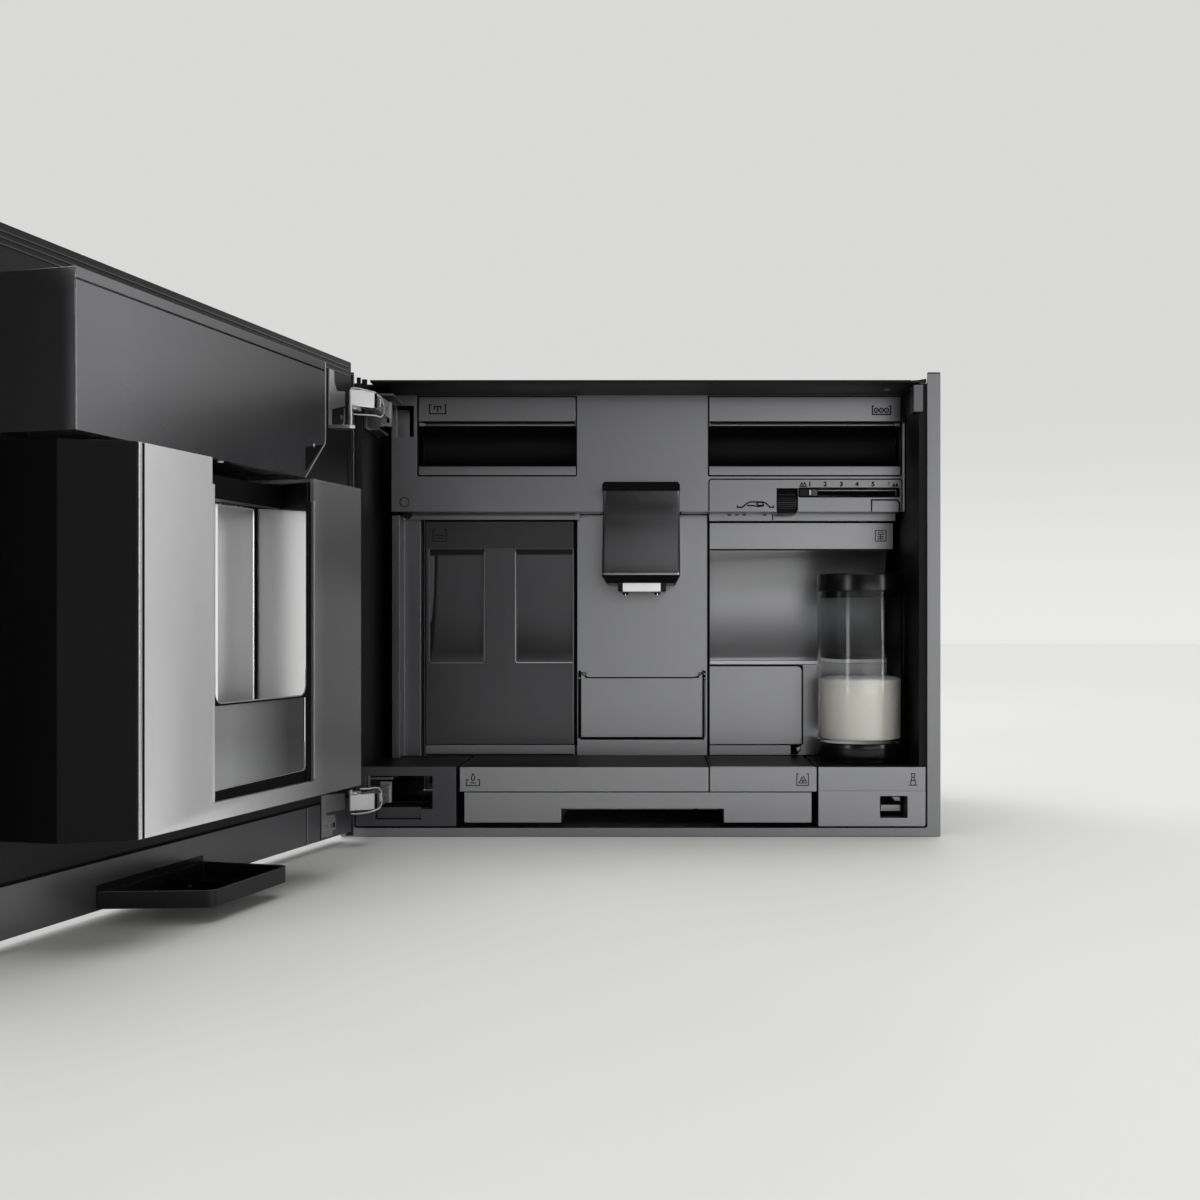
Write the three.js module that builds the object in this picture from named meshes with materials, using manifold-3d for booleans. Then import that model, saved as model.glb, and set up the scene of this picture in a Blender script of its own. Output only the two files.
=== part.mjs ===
// Built-in coffee machine, shown with its door open.
// Millimetres, +Z up. X runs across the front (right is +X), Y runs into the machine.
// Every coordinate below is measured from the front plane of the trim frame (y = 0),
// the machine's centre line (x = 0) and its underside (z = 0). The whole group is then
// moved so that the origin is the middle of the base.
import * as THREE from 'three';
import { mergeVertices } from 'three/addons/utils/BufferGeometryUtils.js';
import Module from 'manifold-3d';

const wasm = await Module();
wasm.setup();

// ---------------------------------------------------------------- driving dimensions
const BASE_MIDDLE = 187;                  // distance from the frame's front plane to the origin
const GAP = 0.3;                          // gap between pieces that touch
const HALF = 297, IN = 284;               // trim frame, outer and inner half width
const FRAME_TOP = 458.4, SILL = 8.4;      // trim frame, top of the side members and of the bottom one
const BODY = 278.5, WALL = 2.5;           // body shell, outer half width and sheet thickness
const REAR = 354;                         // back of the body
const CEIL = 449.7;                       // underside of the top panel
const FASCIA_Y = 72, FASCIA_Z = 328;      // upper fascia, front face and lower edge
const FASCIA_L = -261, FASCIA_R = 274.7;
const COL = 69.8, COL_Y = 113;            // centre column, half width and front face
const SHELF = 69;                         // top of the drip area
const PIVOT = [-299.2, -21.6];            // vertical axis that the door turns about
const OPEN_DEG = 104.5;                   // how far open the door stands in this pose
const DOOR_BACK = -1, DOOR_FRONT = -21;   // inner and outer face of the closed door
const DOOR_Z0 = 9, DOOR_Z1 = 464;
const BOX_Y = 83, BOX_X = 148, BOX_Z0 = 73.5, BOX_Z1 = 325;  // cup niche housing on the door
const WIN = 67, WIN_Z = 86, WIN_H = 72.4, BOX_H = 152.8;               // window in the niche housing
const NICHE = 127, NICHE_Z0 = 88, NICHE_Z1 = 308.5;          // cup niche mouth
const HOUSING_Y = 59, HOUSING_X = 176, HOUSING_H = 143.5, HOUSING_Z0 = 329.5, HOUSING_Z1 = 430.5;
const JAR = [227, 64.5], JAR_R = 44.5;    // milk container

// ---------------------------------------------------------------- geometry helpers
const solid = (geo) => {
  const g = geo.index ? geo.toNonIndexed() : geo.clone();
  for (const k of Object.keys(g.attributes)) if (k !== 'position') g.deleteAttribute(k);
  const m = mergeVertices(g, 1e-4);
  const idx = [];
  const a = m.index.array;
  for (let i = 0; i < a.length; i += 3) {
    if (a[i] !== a[i + 1] && a[i + 1] !== a[i + 2] && a[i] !== a[i + 2]) idx.push(a[i], a[i + 1], a[i + 2]);
  }
  return new wasm.Manifold(new wasm.Mesh({
    numProp: 3,
    vertProperties: new Float32Array(m.attributes.position.array),
    triVerts: new Uint32Array(idx),
  }));
};
const box = (x0, x1, y0, y1, z0, z1) => {
  const g = new THREE.BoxGeometry(x1 - x0, y1 - y0, z1 - z0);
  g.translate((x0 + x1) / 2, (y0 + y1) / 2, (z0 + z1) / 2);
  return solid(g);
};
// an outline in (x, y) raised from z0 to z1
const alongZ = (pts, z0, z1) => {
  const g = new THREE.ExtrudeGeometry(new THREE.Shape(pts.map((p) => new THREE.Vector2(p[0], p[1]))),
    { depth: z1 - z0, bevelEnabled: false });
  g.translate(0, 0, z0);
  return solid(g);
};
// an outline in (x, z) carried from y0 to y1
const alongY = (pts, y0, y1) => {
  const g = new THREE.ExtrudeGeometry(new THREE.Shape(pts.map((p) => new THREE.Vector2(p[0], p[1]))),
    { depth: y1 - y0, bevelEnabled: false });
  g.rotateX(Math.PI / 2);
  g.translate(0, y1, 0);
  return solid(g);
};
// an outline in (y, z) carried from x0 to x1
const alongX = (pts, x0, x1) => {
  const g = new THREE.ExtrudeGeometry(new THREE.Shape(pts.map((p) => new THREE.Vector2(p[0], p[1]))),
    { depth: x1 - x0, bevelEnabled: false });
  g.applyMatrix4(new THREE.Matrix4().makeBasis(
    new THREE.Vector3(0, 1, 0), new THREE.Vector3(0, 0, 1), new THREE.Vector3(1, 0, 0)));
  g.translate(x0, 0, 0);
  return solid(g);
};
const arc = (cx, cy, r, a0, a1, n) => Array.from({ length: n + 1 }, (_, i) => {
  const a = ((a0 + (a1 - a0) * i / n) * Math.PI) / 180;
  return [cx + r * Math.cos(a), cy + r * Math.sin(a)];
});
// a rectangle with rounded corners; radii in the order lower left, lower right, upper right, upper left
const rounded = (u0, u1, v0, v1, r, n = 3) => {
  const q = Array.isArray(r) ? r : [r, r, r, r];
  const out = [];
  const corner = (cx, cy, rr, a0) => (rr > 0 ? arc(cx, cy, rr, a0, a0 + 90, n) : [[cx, cy]]);
  out.push(...corner(u0 + q[0], v0 + q[0], q[0], 180));
  out.push(...corner(u1 - q[1], v0 + q[1], q[1], 270));
  out.push(...corner(u1 - q[2], v1 - q[2], q[2], 0));
  out.push(...corner(u0 + q[3], v1 - q[3], q[3], 90));
  return out;
};
const turned = (profile, cx, cy, n = 32) => {
  const g = new THREE.LatheGeometry(profile.map((p) => new THREE.Vector2(p[0], p[1])), n);
  g.rotateX(Math.PI / 2);
  g.translate(cx, cy, 0);
  return solid(g);
};
const rodZ = (cx, cy, r, z0, z1, n = 16) => alongZ(arc(cx, cy, r, 0, 360 - 360 / n, n - 1), z0, z1);
const rodY = (cx, cz, r, y0, y1, n = 16) => alongY(arc(cx, cz, r, 0, 360 - 360 / n, n - 1), y0, y1);
const rodX = (cy, cz, r, x0, x1, n = 16) => alongX(arc(cy, cz, r, 0, 360 - 360 / n, n - 1), x0, x1);
const cut = (a, ...b) => b.reduce((s, t) => s.subtract(t), a);
const join = (a, ...b) => b.reduce((s, t) => s.add(t), a);

// ---------------------------------------------------------------- materials
const mat = (color, roughness, metalness, extra = {}) =>
  new THREE.MeshStandardMaterial({ color, roughness, metalness, ...extra });
const GREY = () => mat(0x55555a, 0.45, 0.35);
const PALE = () => mat(0x8e8e92, 0.4, 0.5);
const BLACK = () => mat(0x0c0c0e, 0.35, 0.0);
const GLASS = () => mat(0x060607, 0.08, 0.0);
const SILVER = () => mat(0xc9cace, 0.28, 0.9);
const STEEL = () => mat(0xb8b9bd, 0.3, 0.85);
const ZINC = () => mat(0x8f9498, 0.5, 0.7);
const CLEAR = () => mat(0xdfe6ea, 0.05, 0.0, { transparent: true, opacity: 0.35 });

const machine = new THREE.Group();
machine.position.y = -BASE_MIDDLE;
const body = new THREE.Group();           // everything that stands still or slides in the body
const door = new THREE.Group();           // everything on the door, drawn as if the door were closed
door.position.set(PIVOT[0], PIVOT[1], 0);
door.rotation.z = THREE.MathUtils.degToRad(-OPEN_DEG);
machine.add(body, door);

const place = (group, name, shape, material) => {
  const got = shape.getMesh();
  const g = new THREE.BufferGeometry();
  g.setAttribute('position', new THREE.BufferAttribute(new Float32Array(got.vertProperties), 3));
  g.setIndex(new THREE.BufferAttribute(new Uint32Array(got.triVerts), 1));
  g.computeVertexNormals();
  const mesh = new THREE.Mesh(g, material);
  mesh.name = name;
  if (group === door) mesh.position.set(-PIVOT[0], -PIVOT[1], 0);
  group.add(mesh);
};
const B = (name, shape, material) => place(body, name, shape, material);
const D = (name, shape, material) => place(door, name, shape, material);

// ================================================================ body shell
// trim frame: a flat U of sheet that covers the edge of the niche
B('front_frame', cut(
  alongY(rounded(-HALF, HALF, 0, FRAME_TOP, [1.2, 1.2, 0, 0]), 0, 2.4),
  alongY(rounded(-IN, IN, SILL, FRAME_TOP + 20, [2.4, 2.4, 0, 0]), -1, 4)), GREY());

// side panels: folded sheet, the front edge turned out as the flange that the frame sits on
const sidePanel = (s) => {
  const e = [[BODY - WALL, 2.7], [292, 2.7], [292, 4.7], [BODY, 4.7], [BODY, REAR], [BODY - WALL, REAR]];
  return cut(alongZ(s > 0 ? e : e.map((p) => [-p[0], p[1]]).reverse(), 3.3, CEIL - GAP),
    s < 0 ? box(-300, -290.5, -5, 8, 380, 440) : box(290.5, 300, -5, 8, 500, 501));
};
B('left_side_panel', sidePanel(-1), BLACK());
B('right_side_panel', sidePanel(1), BLACK());

B('top_panel', join(
  box(-268, 268, 0, 30, CEIL, CEIL + 2.5),
  box(-BODY, BODY, 25, REAR, CEIL, CEIL + 2.5)), BLACK());

B('base_plate', box(-BODY, BODY, 2.7, REAR, 0, 3), ZINC());

// rear panel with louvres and the opening for the mains inlet
let rear = box(-275.7, 275.7, REAR - 2.7, REAR - 0.3, 3.3, CEIL - GAP);
for (let i = 0; i < 7; i++) {
  const z = 250 + i * 18;
  rear = cut(rear, box(-210, -60, REAR - 5, REAR + 2, z, z + 6), box(60, 210, REAR - 5, REAR + 2, z, z + 6));
}
rear = cut(rear, box(209, 241, REAR - 5, REAR + 2, 38.5, 63));
B('rear_panel', rear, ZINC());
B('mains_inlet', cut(join(
  box(205, 245, REAR, REAR + 3, 34.5, 67),
  box(209.5, 240.5, REAR - 24, REAR + 1, 39, 62.5)),
alongY([[213, 43], [237, 43], [237, 54], [233, 58.5], [217, 58.5], [213, 54]], REAR - 20, REAR + 5)), BLACK());

// ================================================================ upper fascia
const pocket = box(-259.5, -237.8, 60, 90, 406, 438.7);
let fascia = join(
  box(FASCIA_L, FASCIA_R, FASCIA_Y, FASCIA_Y + 4, FASCIA_Z, CEIL - GAP),
  // returns that stiffen the moulding and carry it on the side panels
  box(FASCIA_L, FASCIA_L + 2.5, FASCIA_Y, FASCIA_Y + 22, FASCIA_Z, CEIL - GAP),
  box(FASCIA_R - 2.5, FASCIA_R, FASCIA_Y, FASCIA_Y + 22, FASCIA_Z, CEIL - GAP),
  box(FASCIA_L, FASCIA_R, FASCIA_Y, FASCIA_Y + 32, FASCIA_Z, FASCIA_Z + 3));
fascia = cut(fascia,
  box(-233.5, -68.2, 60, 90, 365.4, 447.9),
  box(69.9, 271.1, 60, 90, 365.4, 447.9),
  pocket,
  box(140.9, 162.6, 60, 110, 320, 352),            // slot of the ribbed roller
  box(164.3, 268.7, 60, 90, 343.6, 352),           // slot of the grind setting
  box(240.3, 269.7, 60, 72.9, 320, 340.5),         // finger notch at the lower right
  rodY(-247.6, 337.9, 4.9, 60, 73.4, 16),          // seat of the fixing screw
  box(-42, 42, 73.4, 110, 320, 362));              // clearance behind the outlet
// rails over the two bays below, and the head of the fixing screw
fascia = join(fascia,
  box(-254.2, -66.4, 98, 101, 321.6, 331), box(-254.2, -70.4, 98, 112, 325.6, 331),
  box(71.6, 140, 98, 100.5, 320.4, 331), box(163.5, 269.4, 98, 100.5, 320.4, 331), box(71.6, 269.4, 98, 112, 324.6, 327.4),
  box(71.6, 140, 98, 112, 324.6, 331), box(163.5, 269.4, 98, 112, 324.6, 331),
  cut(rodY(-247.6, 337.9, 4.2, 71.8, 73.6, 16), box(-248.4, -246.8, 70, 72.6, 333, 342)));
B('upper_fascia', fascia, GREY());

// ================================================================ centre column with its flap opening
const FLAP_Z0 = 88.2, FLAP_Z1 = 152.5, FLAP_X = 65.4;
const uTop = (grow) => [
  ...[[-FLAP_X - grow, FLAP_Z0 - grow], [FLAP_X + grow, FLAP_Z0 - grow], [FLAP_X + grow, 158 + grow]],
  ...arc(FLAP_X - 5 + 0, 158 + grow, 5 + grow, 0, -90, 3).slice(1),
  ...arc(-FLAP_X + 5, 158 + grow, 5 + grow, -90, -180, 3),
];
const flapHole = alongY([[-66.6, 86.2], [66.6, 86.2], [66.6, 158.6], [60.2, 158.6], [60.2, 153.7], [-60.2, 153.7], [-60.2, 158.6], [-66.6, 158.6]], 100, 125);
let column = join(
  box(-COL, COL, COL_Y, COL_Y + 3, SHELF + 0.6, FASCIA_Z - GAP),
  box(-COL, -COL + 2.5, COL_Y, COL_Y + 40, SHELF + 0.6, FASCIA_Z - GAP),
  box(COL - 2.5, COL, COL_Y, COL_Y + 40, SHELF + 0.6, FASCIA_Z - GAP),
  box(-232.5, -COL + 2, COL_Y + 1.5, COL_Y + 6, SHELF + 0.6, 80.4));       // sill under the water tank
// the slot that the outlet's carriage runs in, hidden behind the outlet
column = cut(column, flapHole, box(-12.4, 12.4, 100, 130, 255.2, 330));
B('column_cover', column, GREY());
B('column_flap', cut(join(
  box(-65.4, 65.4, COL_Y, COL_Y + 3, FLAP_Z0, FLAP_Z1),
  box(-65.4, -61.2, COL_Y, COL_Y + 3, FLAP_Z1 - 1, 157.6),
  box(61.2, 65.4, COL_Y, COL_Y + 3, FLAP_Z1 - 1, 157.6),
  rodX(COL_Y + 3, FLAP_Z0 + 2.6, 2.4, -65.4, 65.4, 12)), box(-80, 80, 90, COL_Y, 60, 170)), GREY());

// vertical rail inside the column: the outlet's carriage slides on it
B('outlet_rail', cut(box(-24, 24, 122, 130, 238, 327.4),
  box(-16.5, 16.5, 121, 127, 230, 330)), ZINC());

// ================================================================ tank bay
B('tank_bay_post', alongZ([
  [-263.2, 84], [-254.5, 84], [-254.5, 105.5], [-236.4, 105.5], [-236.4, 118], [-240, 118], [-240, 109.5],
  [-258.5, 109.5], [-258.5, 88], [-263.2, 88]], SHELF + 0.6, 325.2), GREY());
B('tank_socket', cut(join(box(-190, -116.8, 292, 350.6, 70, 80), rodZ(-153, 270, 10, 71, 80, 20), box(-163, -143, 270, 300, 71, 76)),
  rodZ(-153, 270, 5, 73, 90, 16)), BLACK());

// water tank: open at the top, two grip hollows in its front
const gripHollow = (x0, x1) => {
  // the hollow runs in at the top and back out towards its lower edge
  const pts = [[100, 290.8], [120.5, 290.8], [121.5, 280], [121.5, 225], [120, 200], [117, 180], [113, 169.8], [100, 169.8]];
  return alongX(pts, x0, x1);
};
const TANK = { x0: -232.5, x1: -73.2, y0: 113, y1: 286, z0: 81, z1: 320.6 };
let tank = cut(
  box(TANK.x0, TANK.x1, TANK.y0, TANK.y1, TANK.z0, TANK.z1),
  box(TANK.x0 + 3, TANK.x1 - 3, TANK.y0 + 12, TANK.y1 - 3, TANK.z0 + 3, TANK.z1 + 5),
  gripHollow(-228.1, -170.4), gripHollow(-135.6, TANK.x1 + 5));
tank = cut(tank, rodZ(-153, 270, 6, 70, 90, 16));
B('water_tank', tank, mat(0x3a3a3d, 0.4, 0.1));

// ================================================================ brewing unit bay, right of the column
const BREW_X0 = 71.6, BREW_X1 = 269.4;
// one moulded panel: a top band, a hollow grip that curves in and out again, a ledge and the lower face
const brewProfile = [
  [113, 319.2], [113, 291.3], [116.5, 291.3], [117, 288], [124, 279], [128.5, 262], [130, 240], [129, 215], [126, 192], [121.5, 176],
  [118, 171.2], [113.6, 171.2], [113.6, 167.3], [116.4, 166.6], [116.4, 69.8], [119.4, 69.8], [119.4, 168.5], [122.4, 171.5],
  [126, 180], [131, 194], [133.6, 215], [134.6, 240], [133, 264], [128.4, 281.5], [121.4, 290.6], [121.4, 319.2]];
let brewCover = alongX(brewProfile, BREW_X0, 263.7);
brewCover = join(brewCover, box(263, BREW_X1, 113, 121.4, 291.3, 319.2));
brewCover = cut(brewCover, box(71, 173.2, 100, 125, 80.6, 166.4));
B('brew_bay_cover', brewCover, GREY());
// small pull-out service panel below it
B('service_panel', join(
  alongY(rounded(72, 171.6, 81.4, 165.2, [0, 2, 5, 0]), 113, 116.4),
  alongY(rounded(76, 168, 85, 162, 0), 116.4, 150)), GREY());

// ================================================================ drip area
B('drip_tray', cut(
  join(box(-178.9, 67.2, 0, 3.2, 44.6, 68.6), box(-176.5, 66, 3, 262, 44.8, 66)),
  box(-173.5, 63, 6, 259, 47.4, 80)), GREY());
B('drip_cover', (() => {
  return box(-178.9, 66.9, 3.5, 112, 66.4, SHELF);
})(), GREY());
B('grounds_container', cut(
  join(box(68.7, 174.2, 0, 3.2, 44.6, 68.6), box(68.7, 172.4, 3, 260, 44.8, SHELF)),
  box(71.7, 169.4, 114, 257, 47.6, 80), box(71.7, 169.4, 6, 115, 47.6, 66)), GREY());
// lower drawer: its front is notched for the spout on the door
const slot = [-78.7, 82.4];
B('lower_drawer', (() => {
  const y1 = 250;
  let d = join(box(-174.5, 169.2, 0, 3.4, 13.9, 43.6), box(-171, 166, 3, y1, 13.9, 43.6));
  d = cut(d, box(-168, 163, 6, y1 - 3, 30.6, 60),
    box(-168, slot[0] - 5.4, 6, y1 - 3, 16.6, 60), box(slot[1] + 7, 163, 6, y1 - 3, 16.6, 60),
    box(-168, 163, 98, y1 - 3, 16.6, 60),
    box(slot[0], slot[1], -5, 92, 0, 27.5));
  return d;
})(), GREY());

// corner blocks that flank the drip area
B('left_base_block', (() => {
  let b = join(box(-282.2, -182.8, 0.3, 112, 10.2, SHELF));
  b = cut(b, box(-272.4, -206.3, -5, 120, 27.2, 59.9), box(-263, -217.9, -5, 60, 16.8, 30),
    alongY([[-283, 9], [-279.6, 9], [-283, 12.4]], -5, 3));
  b = cut(b, box(-290, -275.6, 2.5, 130, 0, 80));
  return b;
})(), mat(0x38383c, 0.45, 0.3));
B('right_base_block', (() => {
  let b = join(box(176.2, 282.2, 0.3, 112, 10.2, 45.2), box(176.2, 282.2, 0.3, 112, 45, SHELF - 0.3));
  b = cut(b, box(170, 290, -3, 1.1, 45, 45.7),
    alongY(rounded(237.1, 264.5, 18.3, 40.1, 1), -3, 60),
    alongY([[283, 9], [279.6, 9], [283, 12.4]].reverse(), -5, 3));
  b = cut(b, box(275.6, 290, 2.5, 130, 0, 80));
  return b;
})(), GREY());
// striker for the door's latch, at the upper right
B('latch_striker', box(270.8, 275.7, 4, 22, 421, 447.7).add(box(270.8, 279.3, 3, 4.4, 421, 447.7).subtract(box(275.8, 290, 2, 30, 400, 460))), GREY());

// ================================================================ hinges on the body
// each hinge: a mount on the side panel with a collar, and an arm that runs back into it as the door closes
const arm = (z0, z1, r0, r1, p0, p1, pr, t0, t1) => join(
  // a bar across the front, bent back into a shank that slides into the body
  cut(alongZ([[-273.8, -64], [-272, -68.5], [-251.4, -57], [-250.7, -46], [-250.2, 8.8], [-250.2, 12], [-257, 12], [-258.4, -12], [-259.4, -40], [-263, -48.5], [-274.4, -58]], z0, z1),
    alongZ([[-257, -36], [-252.9, -36], [-252.6, 2], [-255.6, 2]], z0 + 3, z1 + 3)),
  // pin at the door's end, carried by a tongue
  rodZ(-271, -70, pr, p0, p1, 16),
  alongZ([[-270.4, -71.2], [-269.2, -70.8], [-263, -61], [-270, -58]], t0, t1),
  // upright link frame at the arm's end
  cut(box(-259.4, -248.4, 8.6, 12, r0, r1), box(-253.6, -250.5, 5, 15, r0 + 3.2, r1 - 3.2)));
B('hinge_arm_top', arm(415.4, 431, 407.6, 432, 397, 415.2, 2, 411.5, 416), SILVER());
B('hinge_arm_bottom', arm(34.9, 49.9, 32.6, 53.4, 50, 54.6, 1.8, 49.4, 52.8), SILVER());
const hingeMount = (z0, z1) => {
  // a plate on the side panel with two shelves above and below the arm
  const x0 = -275.7;
  return join(
    box(x0, x0 + 3, 8, 70, z0 - 14, z1 + 6),
    box(x0, -262, 16, 60, z0 - 14, z0 - 11.8),
    box(x0, -246.8, 8, 60, z1 + 2, z1 + 4.4));
};
B('hinge_mount_top', hingeMount(419, 436), SILVER());
B('hinge_mount_bottom', box(-272.1, -269.4, 8, 70, 28, 59).add(
  box(-272.1, -246.8, 8, 60, 55.4, 57.8)), SILVER());

// ================================================================ drawers in the fascia
const drawer = (x0, x1, depth, wallTop = 447.4) => {
  // front: a band with a lip above, a deep grip hollow, and a strip below
  const prof = [[72, 447.4], [72, 422.4], [75, 421], [75, 417.4], [80, 416.4], [96, 412], [103, 400], [103, 384], [96, 376.4], [75, 375.2], [72, 375.2],
    [72, 366], [108, 366], [108, 447.4]];
  let d = alongX(prof, x0, x1);
  d = join(d, box(x0 + 2, x1 - 2, 106, depth, 340 + 26, wallTop));
  return cut(d, box(x0 + 5, x1 - 5, 111, depth - 3, 369, 460));
};
B('ground_coffee_drawer', drawer(-232.8, -68.9, 210), GREY());
// the bean container's walls end lower: a clear lid lies on them and slides back
B('bean_drawer', drawer(70.6, 270.4, 250, 443.9), GREY());
B('bean_drawer_lid', join(box(72.8, 268.2, 108.4, 250, 444.3, 446.4), box(150, 190, 114, 118, 446, 447.4)), CLEAR());

// grind setting and roller
B('grind_slider', join(box(165, 184.2, 72.4, 80, 344.2, 351.4), box(168, 181, 80, 86, 346, 349.6)), BLACK());
B('portion_roller', (() => {
  let r = rodX(82, 337.5, 12.2, 141.8, 161.7, 24);
  for (let i = 0; i < 12; i++) {
    const a = (i * 30 * Math.PI) / 180;
    const cy = 82 + 12.6 * Math.cos(a), cz = 337.5 + 12.6 * Math.sin(a);
    r = cut(r, rodX(cy, cz, 1.5, 140, 164, 6));
  }
  return join(r, rodX(82, 337.5, 2.6, 160, 190, 12));
})(), BLACK());

// ================================================================ coffee outlet
// seen from the side its face leans forward towards the bottom
const outletSide = [[61.5, 354.5], [63.5, 356.6], [112.4, 356.6], [112.4, 251.6], [34, 251.6], [30, 255.6], [30, 263], [61.5, 327]];
let outlet = alongX(outletSide, -39.9, 39.9);
outlet = cut(outlet, box(-60, 60, 71.7, 130, 327.7, 370));
outlet = cut(outlet, alongZ([[-41, 28], [-41, 34], [-36.5, 28]].reverse(), 240, 330), alongZ([[41, 28], [36.5, 28], [41, 34]].reverse(), 240, 330));
outlet = cut(outlet, box(-32, 32, 60, 108, 258, 322));
outlet = cut(outlet, box(-23.5, 23.5, 38, 76, 250, 259));
outlet = cut(outlet, box(-20.2, 20.6, 20, 40, 245, 254.5));
// the carriage on its back runs on the rail inside the column
outlet = join(outlet, box(-11.6, 11.6, 107, 122.6, 306.4, 326.6), box(-16, 16, 122.2, 126.6, 304, 326.8));
B('outlet_housing', outlet, mat(0x1b1b1e, 0.35, 0.1));
B('outlet_nozzle', join(
  box(-23, 23, 40, 74, 243.6, 258.6),
  rodZ(-16, 50, 3, 239.2, 245, 14), rodZ(16.4, 50, 3, 239.2, 245, 14),
  box(-18.8, 19.9, 30.8, 42, 243, 254.1)), STEEL());

// ================================================================ milk container
B('milk_jar', turned([[0, 89.4], [JAR_R, 89.4], [JAR_R, 244], [JAR_R - 2.4, 244], [JAR_R - 2.4, 92.4], [0, 92.4]], ...JAR, 40), CLEAR());
B('milk_jar_base', turned([[0, 68.9], [42, 68.9], [42.6, 70.4], [42.6, 73.2], [JAR_R, 75], [JAR_R + 0.2, 89.1], [0, 89.1]], ...JAR, 40), BLACK());
B('milk_jar_lid', turned([[0, 247], [JAR_R - 5.6, 247], [JAR_R - 5.6, 237], [JAR_R - 2.9, 237], [JAR_R - 2.9, 244.4],
  [JAR_R + 0.2, 244.4], [JAR_R + 0.2, 260.6], [JAR_R - 1.2, 262], [0, 262]], ...JAR, 40), BLACK());

// ================================================================ what the body holds inside
const BURR = [170, 180];
B('grinder_housing', cut(join(
  rodZ(...BURR, 40, 322.5, 358, 28), box(150, 190, 150, 246, 322.5, 346)),
rodZ(...BURR, 30, 334, 370, 24), rodZ(...BURR, 9, 320, 340, 16)), mat(0x303034, 0.5, 0.1));
B('grinder_burr', join(turned([[0, 335], [28.5, 335], [22, 352], [0, 354]], ...BURR, 24), rodZ(...BURR, 6, 329, 337, 12)), STEEL());
B('brew_unit', cut(join(box(78, 166, 156, 330, 76, 314), box(70.5, 79, 180, 300, 110, 200)),
  rodZ(122, 220, 26, 150, 330, 24), box(96, 148, 194, 246, 60, 90)), mat(0x2c2c30, 0.5, 0.1));
B('brew_piston', join(rodZ(122, 220, 25.4, 200, 232, 24), rodZ(122, 220, 8, 230, 300, 14)), STEEL());
B('thermoblock', join(box(-60, 60, 160, 300, 200, 246), rodZ(0, 230, 26, 245, 270, 20)), ZINC());
B('water_pump', join(rodY(-20, 120, 24, 180, 270, 20), box(-44, 4, 200, 250, 76, 110), rodY(-20, 120, 7, 268, 300, 12)), BLACK());
B('control_board', join(box(-210, -80, 262, 264.4, 340, 440), box(-190, -150, 264, 284, 360, 400), box(-130, -100, 264, 278, 380, 420)), mat(0x1f5a38, 0.6, 0.0));
B('water_hose', (() => {
  const pts = [[-116, 340, 76], [-100, 338, 76], [-86, 334, 80], [-78, 330, 100], [-70, 328, 150], [-62, 326, 190], [-50, 322, 215], [-36, 315, 222], [-20, 306, 223], [-20, 300.4, 223]]
    .map((p) => new THREE.Vector3(...p));
  const path = new THREE.CatmullRomCurve3(pts, false, 'catmullrom', 0.4);
  const ring = new THREE.Shape(arc(0, 0, 4, 0, 315, 7).map((p) => new THREE.Vector2(...p)));
  return solid(new THREE.ExtrudeGeometry(ring, { steps: 28, extrudePath: path }));
})(), mat(0xd8d8d4, 0.5, 0.0));

// ================================================================ door, drawn closed
const zTop = (y) => NICHE_Z1 - ((y + 1) * 9.5) / 84;   // niche ceiling falls towards the back
const flare = (y) => NICHE - ((y + 1) * 60) / 84;      // half width of the cup niche at depth y

D('door_glass', cut(alongY(rounded(-HALF, HALF, DOOR_Z0, DOOR_Z1, 1.5), DOOR_FRONT, -17),
  alongY(rounded(-NICHE, NICHE, NICHE_Z0 + 3, NICHE_Z1, 2), -30, 0)), GLASS());
D('door_panel', cut(join(box(-295.5, 295.5, -16.7, -3, DOOR_Z0 + 1.5, DOOR_Z1 - 1.5),
  box(-296.4, 296.4, -3.4, DOOR_BACK, 45, DOOR_Z1 - 0.5)),
alongY(rounded(-NICHE, NICHE, NICHE_Z0 + 3, NICHE_Z1, 2), -30, -5),
box(-NICHE - 1.8, NICHE + 1.8, -5.5, 10, NICHE_Z0 - 3.2, NICHE_Z1 + 1)), BLACK());
D('door_lower_flange', box(-296.4, 296.4, -2.7, DOOR_BACK + 0.2, DOOR_Z0 + 0.5, 43.5), GREY());
D('niche_trim', cut(alongY(rounded(-NICHE + GAP, NICHE - GAP, NICHE_Z0 + 3.3, NICHE_Z1 - GAP, 2), -21, -1.2),
  alongY(rounded(-NICHE + 2.2, NICHE - 2.2, NICHE_Z0 + 5, NICHE_Z1 - 2.2, 1), -30, 5)), STEEL());

// cup niche: flared steel side walls on a floor
const trap = (y0, y1, grow) => [[-flare(y0) - grow, y0], [flare(y0) + grow, y0], [flare(y1) + grow, y1], [-flare(y1) - grow, y1]];
const underCeiling = alongX([[-20, zTop(-20) - 0.35], [95, zTop(95) - 0.35], [95, 400], [-20, 400]], -200, 200);
D('niche_liner', cut(alongZ(trap(-0.9, 79.7, 1.3), NICHE_Z0 - 2.4, 320), alongZ(trap(-8, 90, 0), NICHE_Z0, 330), underCeiling), STEEL());
const aboveSlope = alongX([[-20, 200], [95, 200], [95, zTop(95)], [-20, zTop(-20)]], -200, 200);
D('niche_ceiling', cut(alongZ(trap(-0.7, 79.7, 1.3), 290, 321.4), aboveSlope,
  alongZ([[-flare(42) + 2, 42], [flare(42) - 2, 42], [flare(90) - 2, 90], [-flare(90) + 2, 90]], 280, 340)), BLACK());
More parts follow.
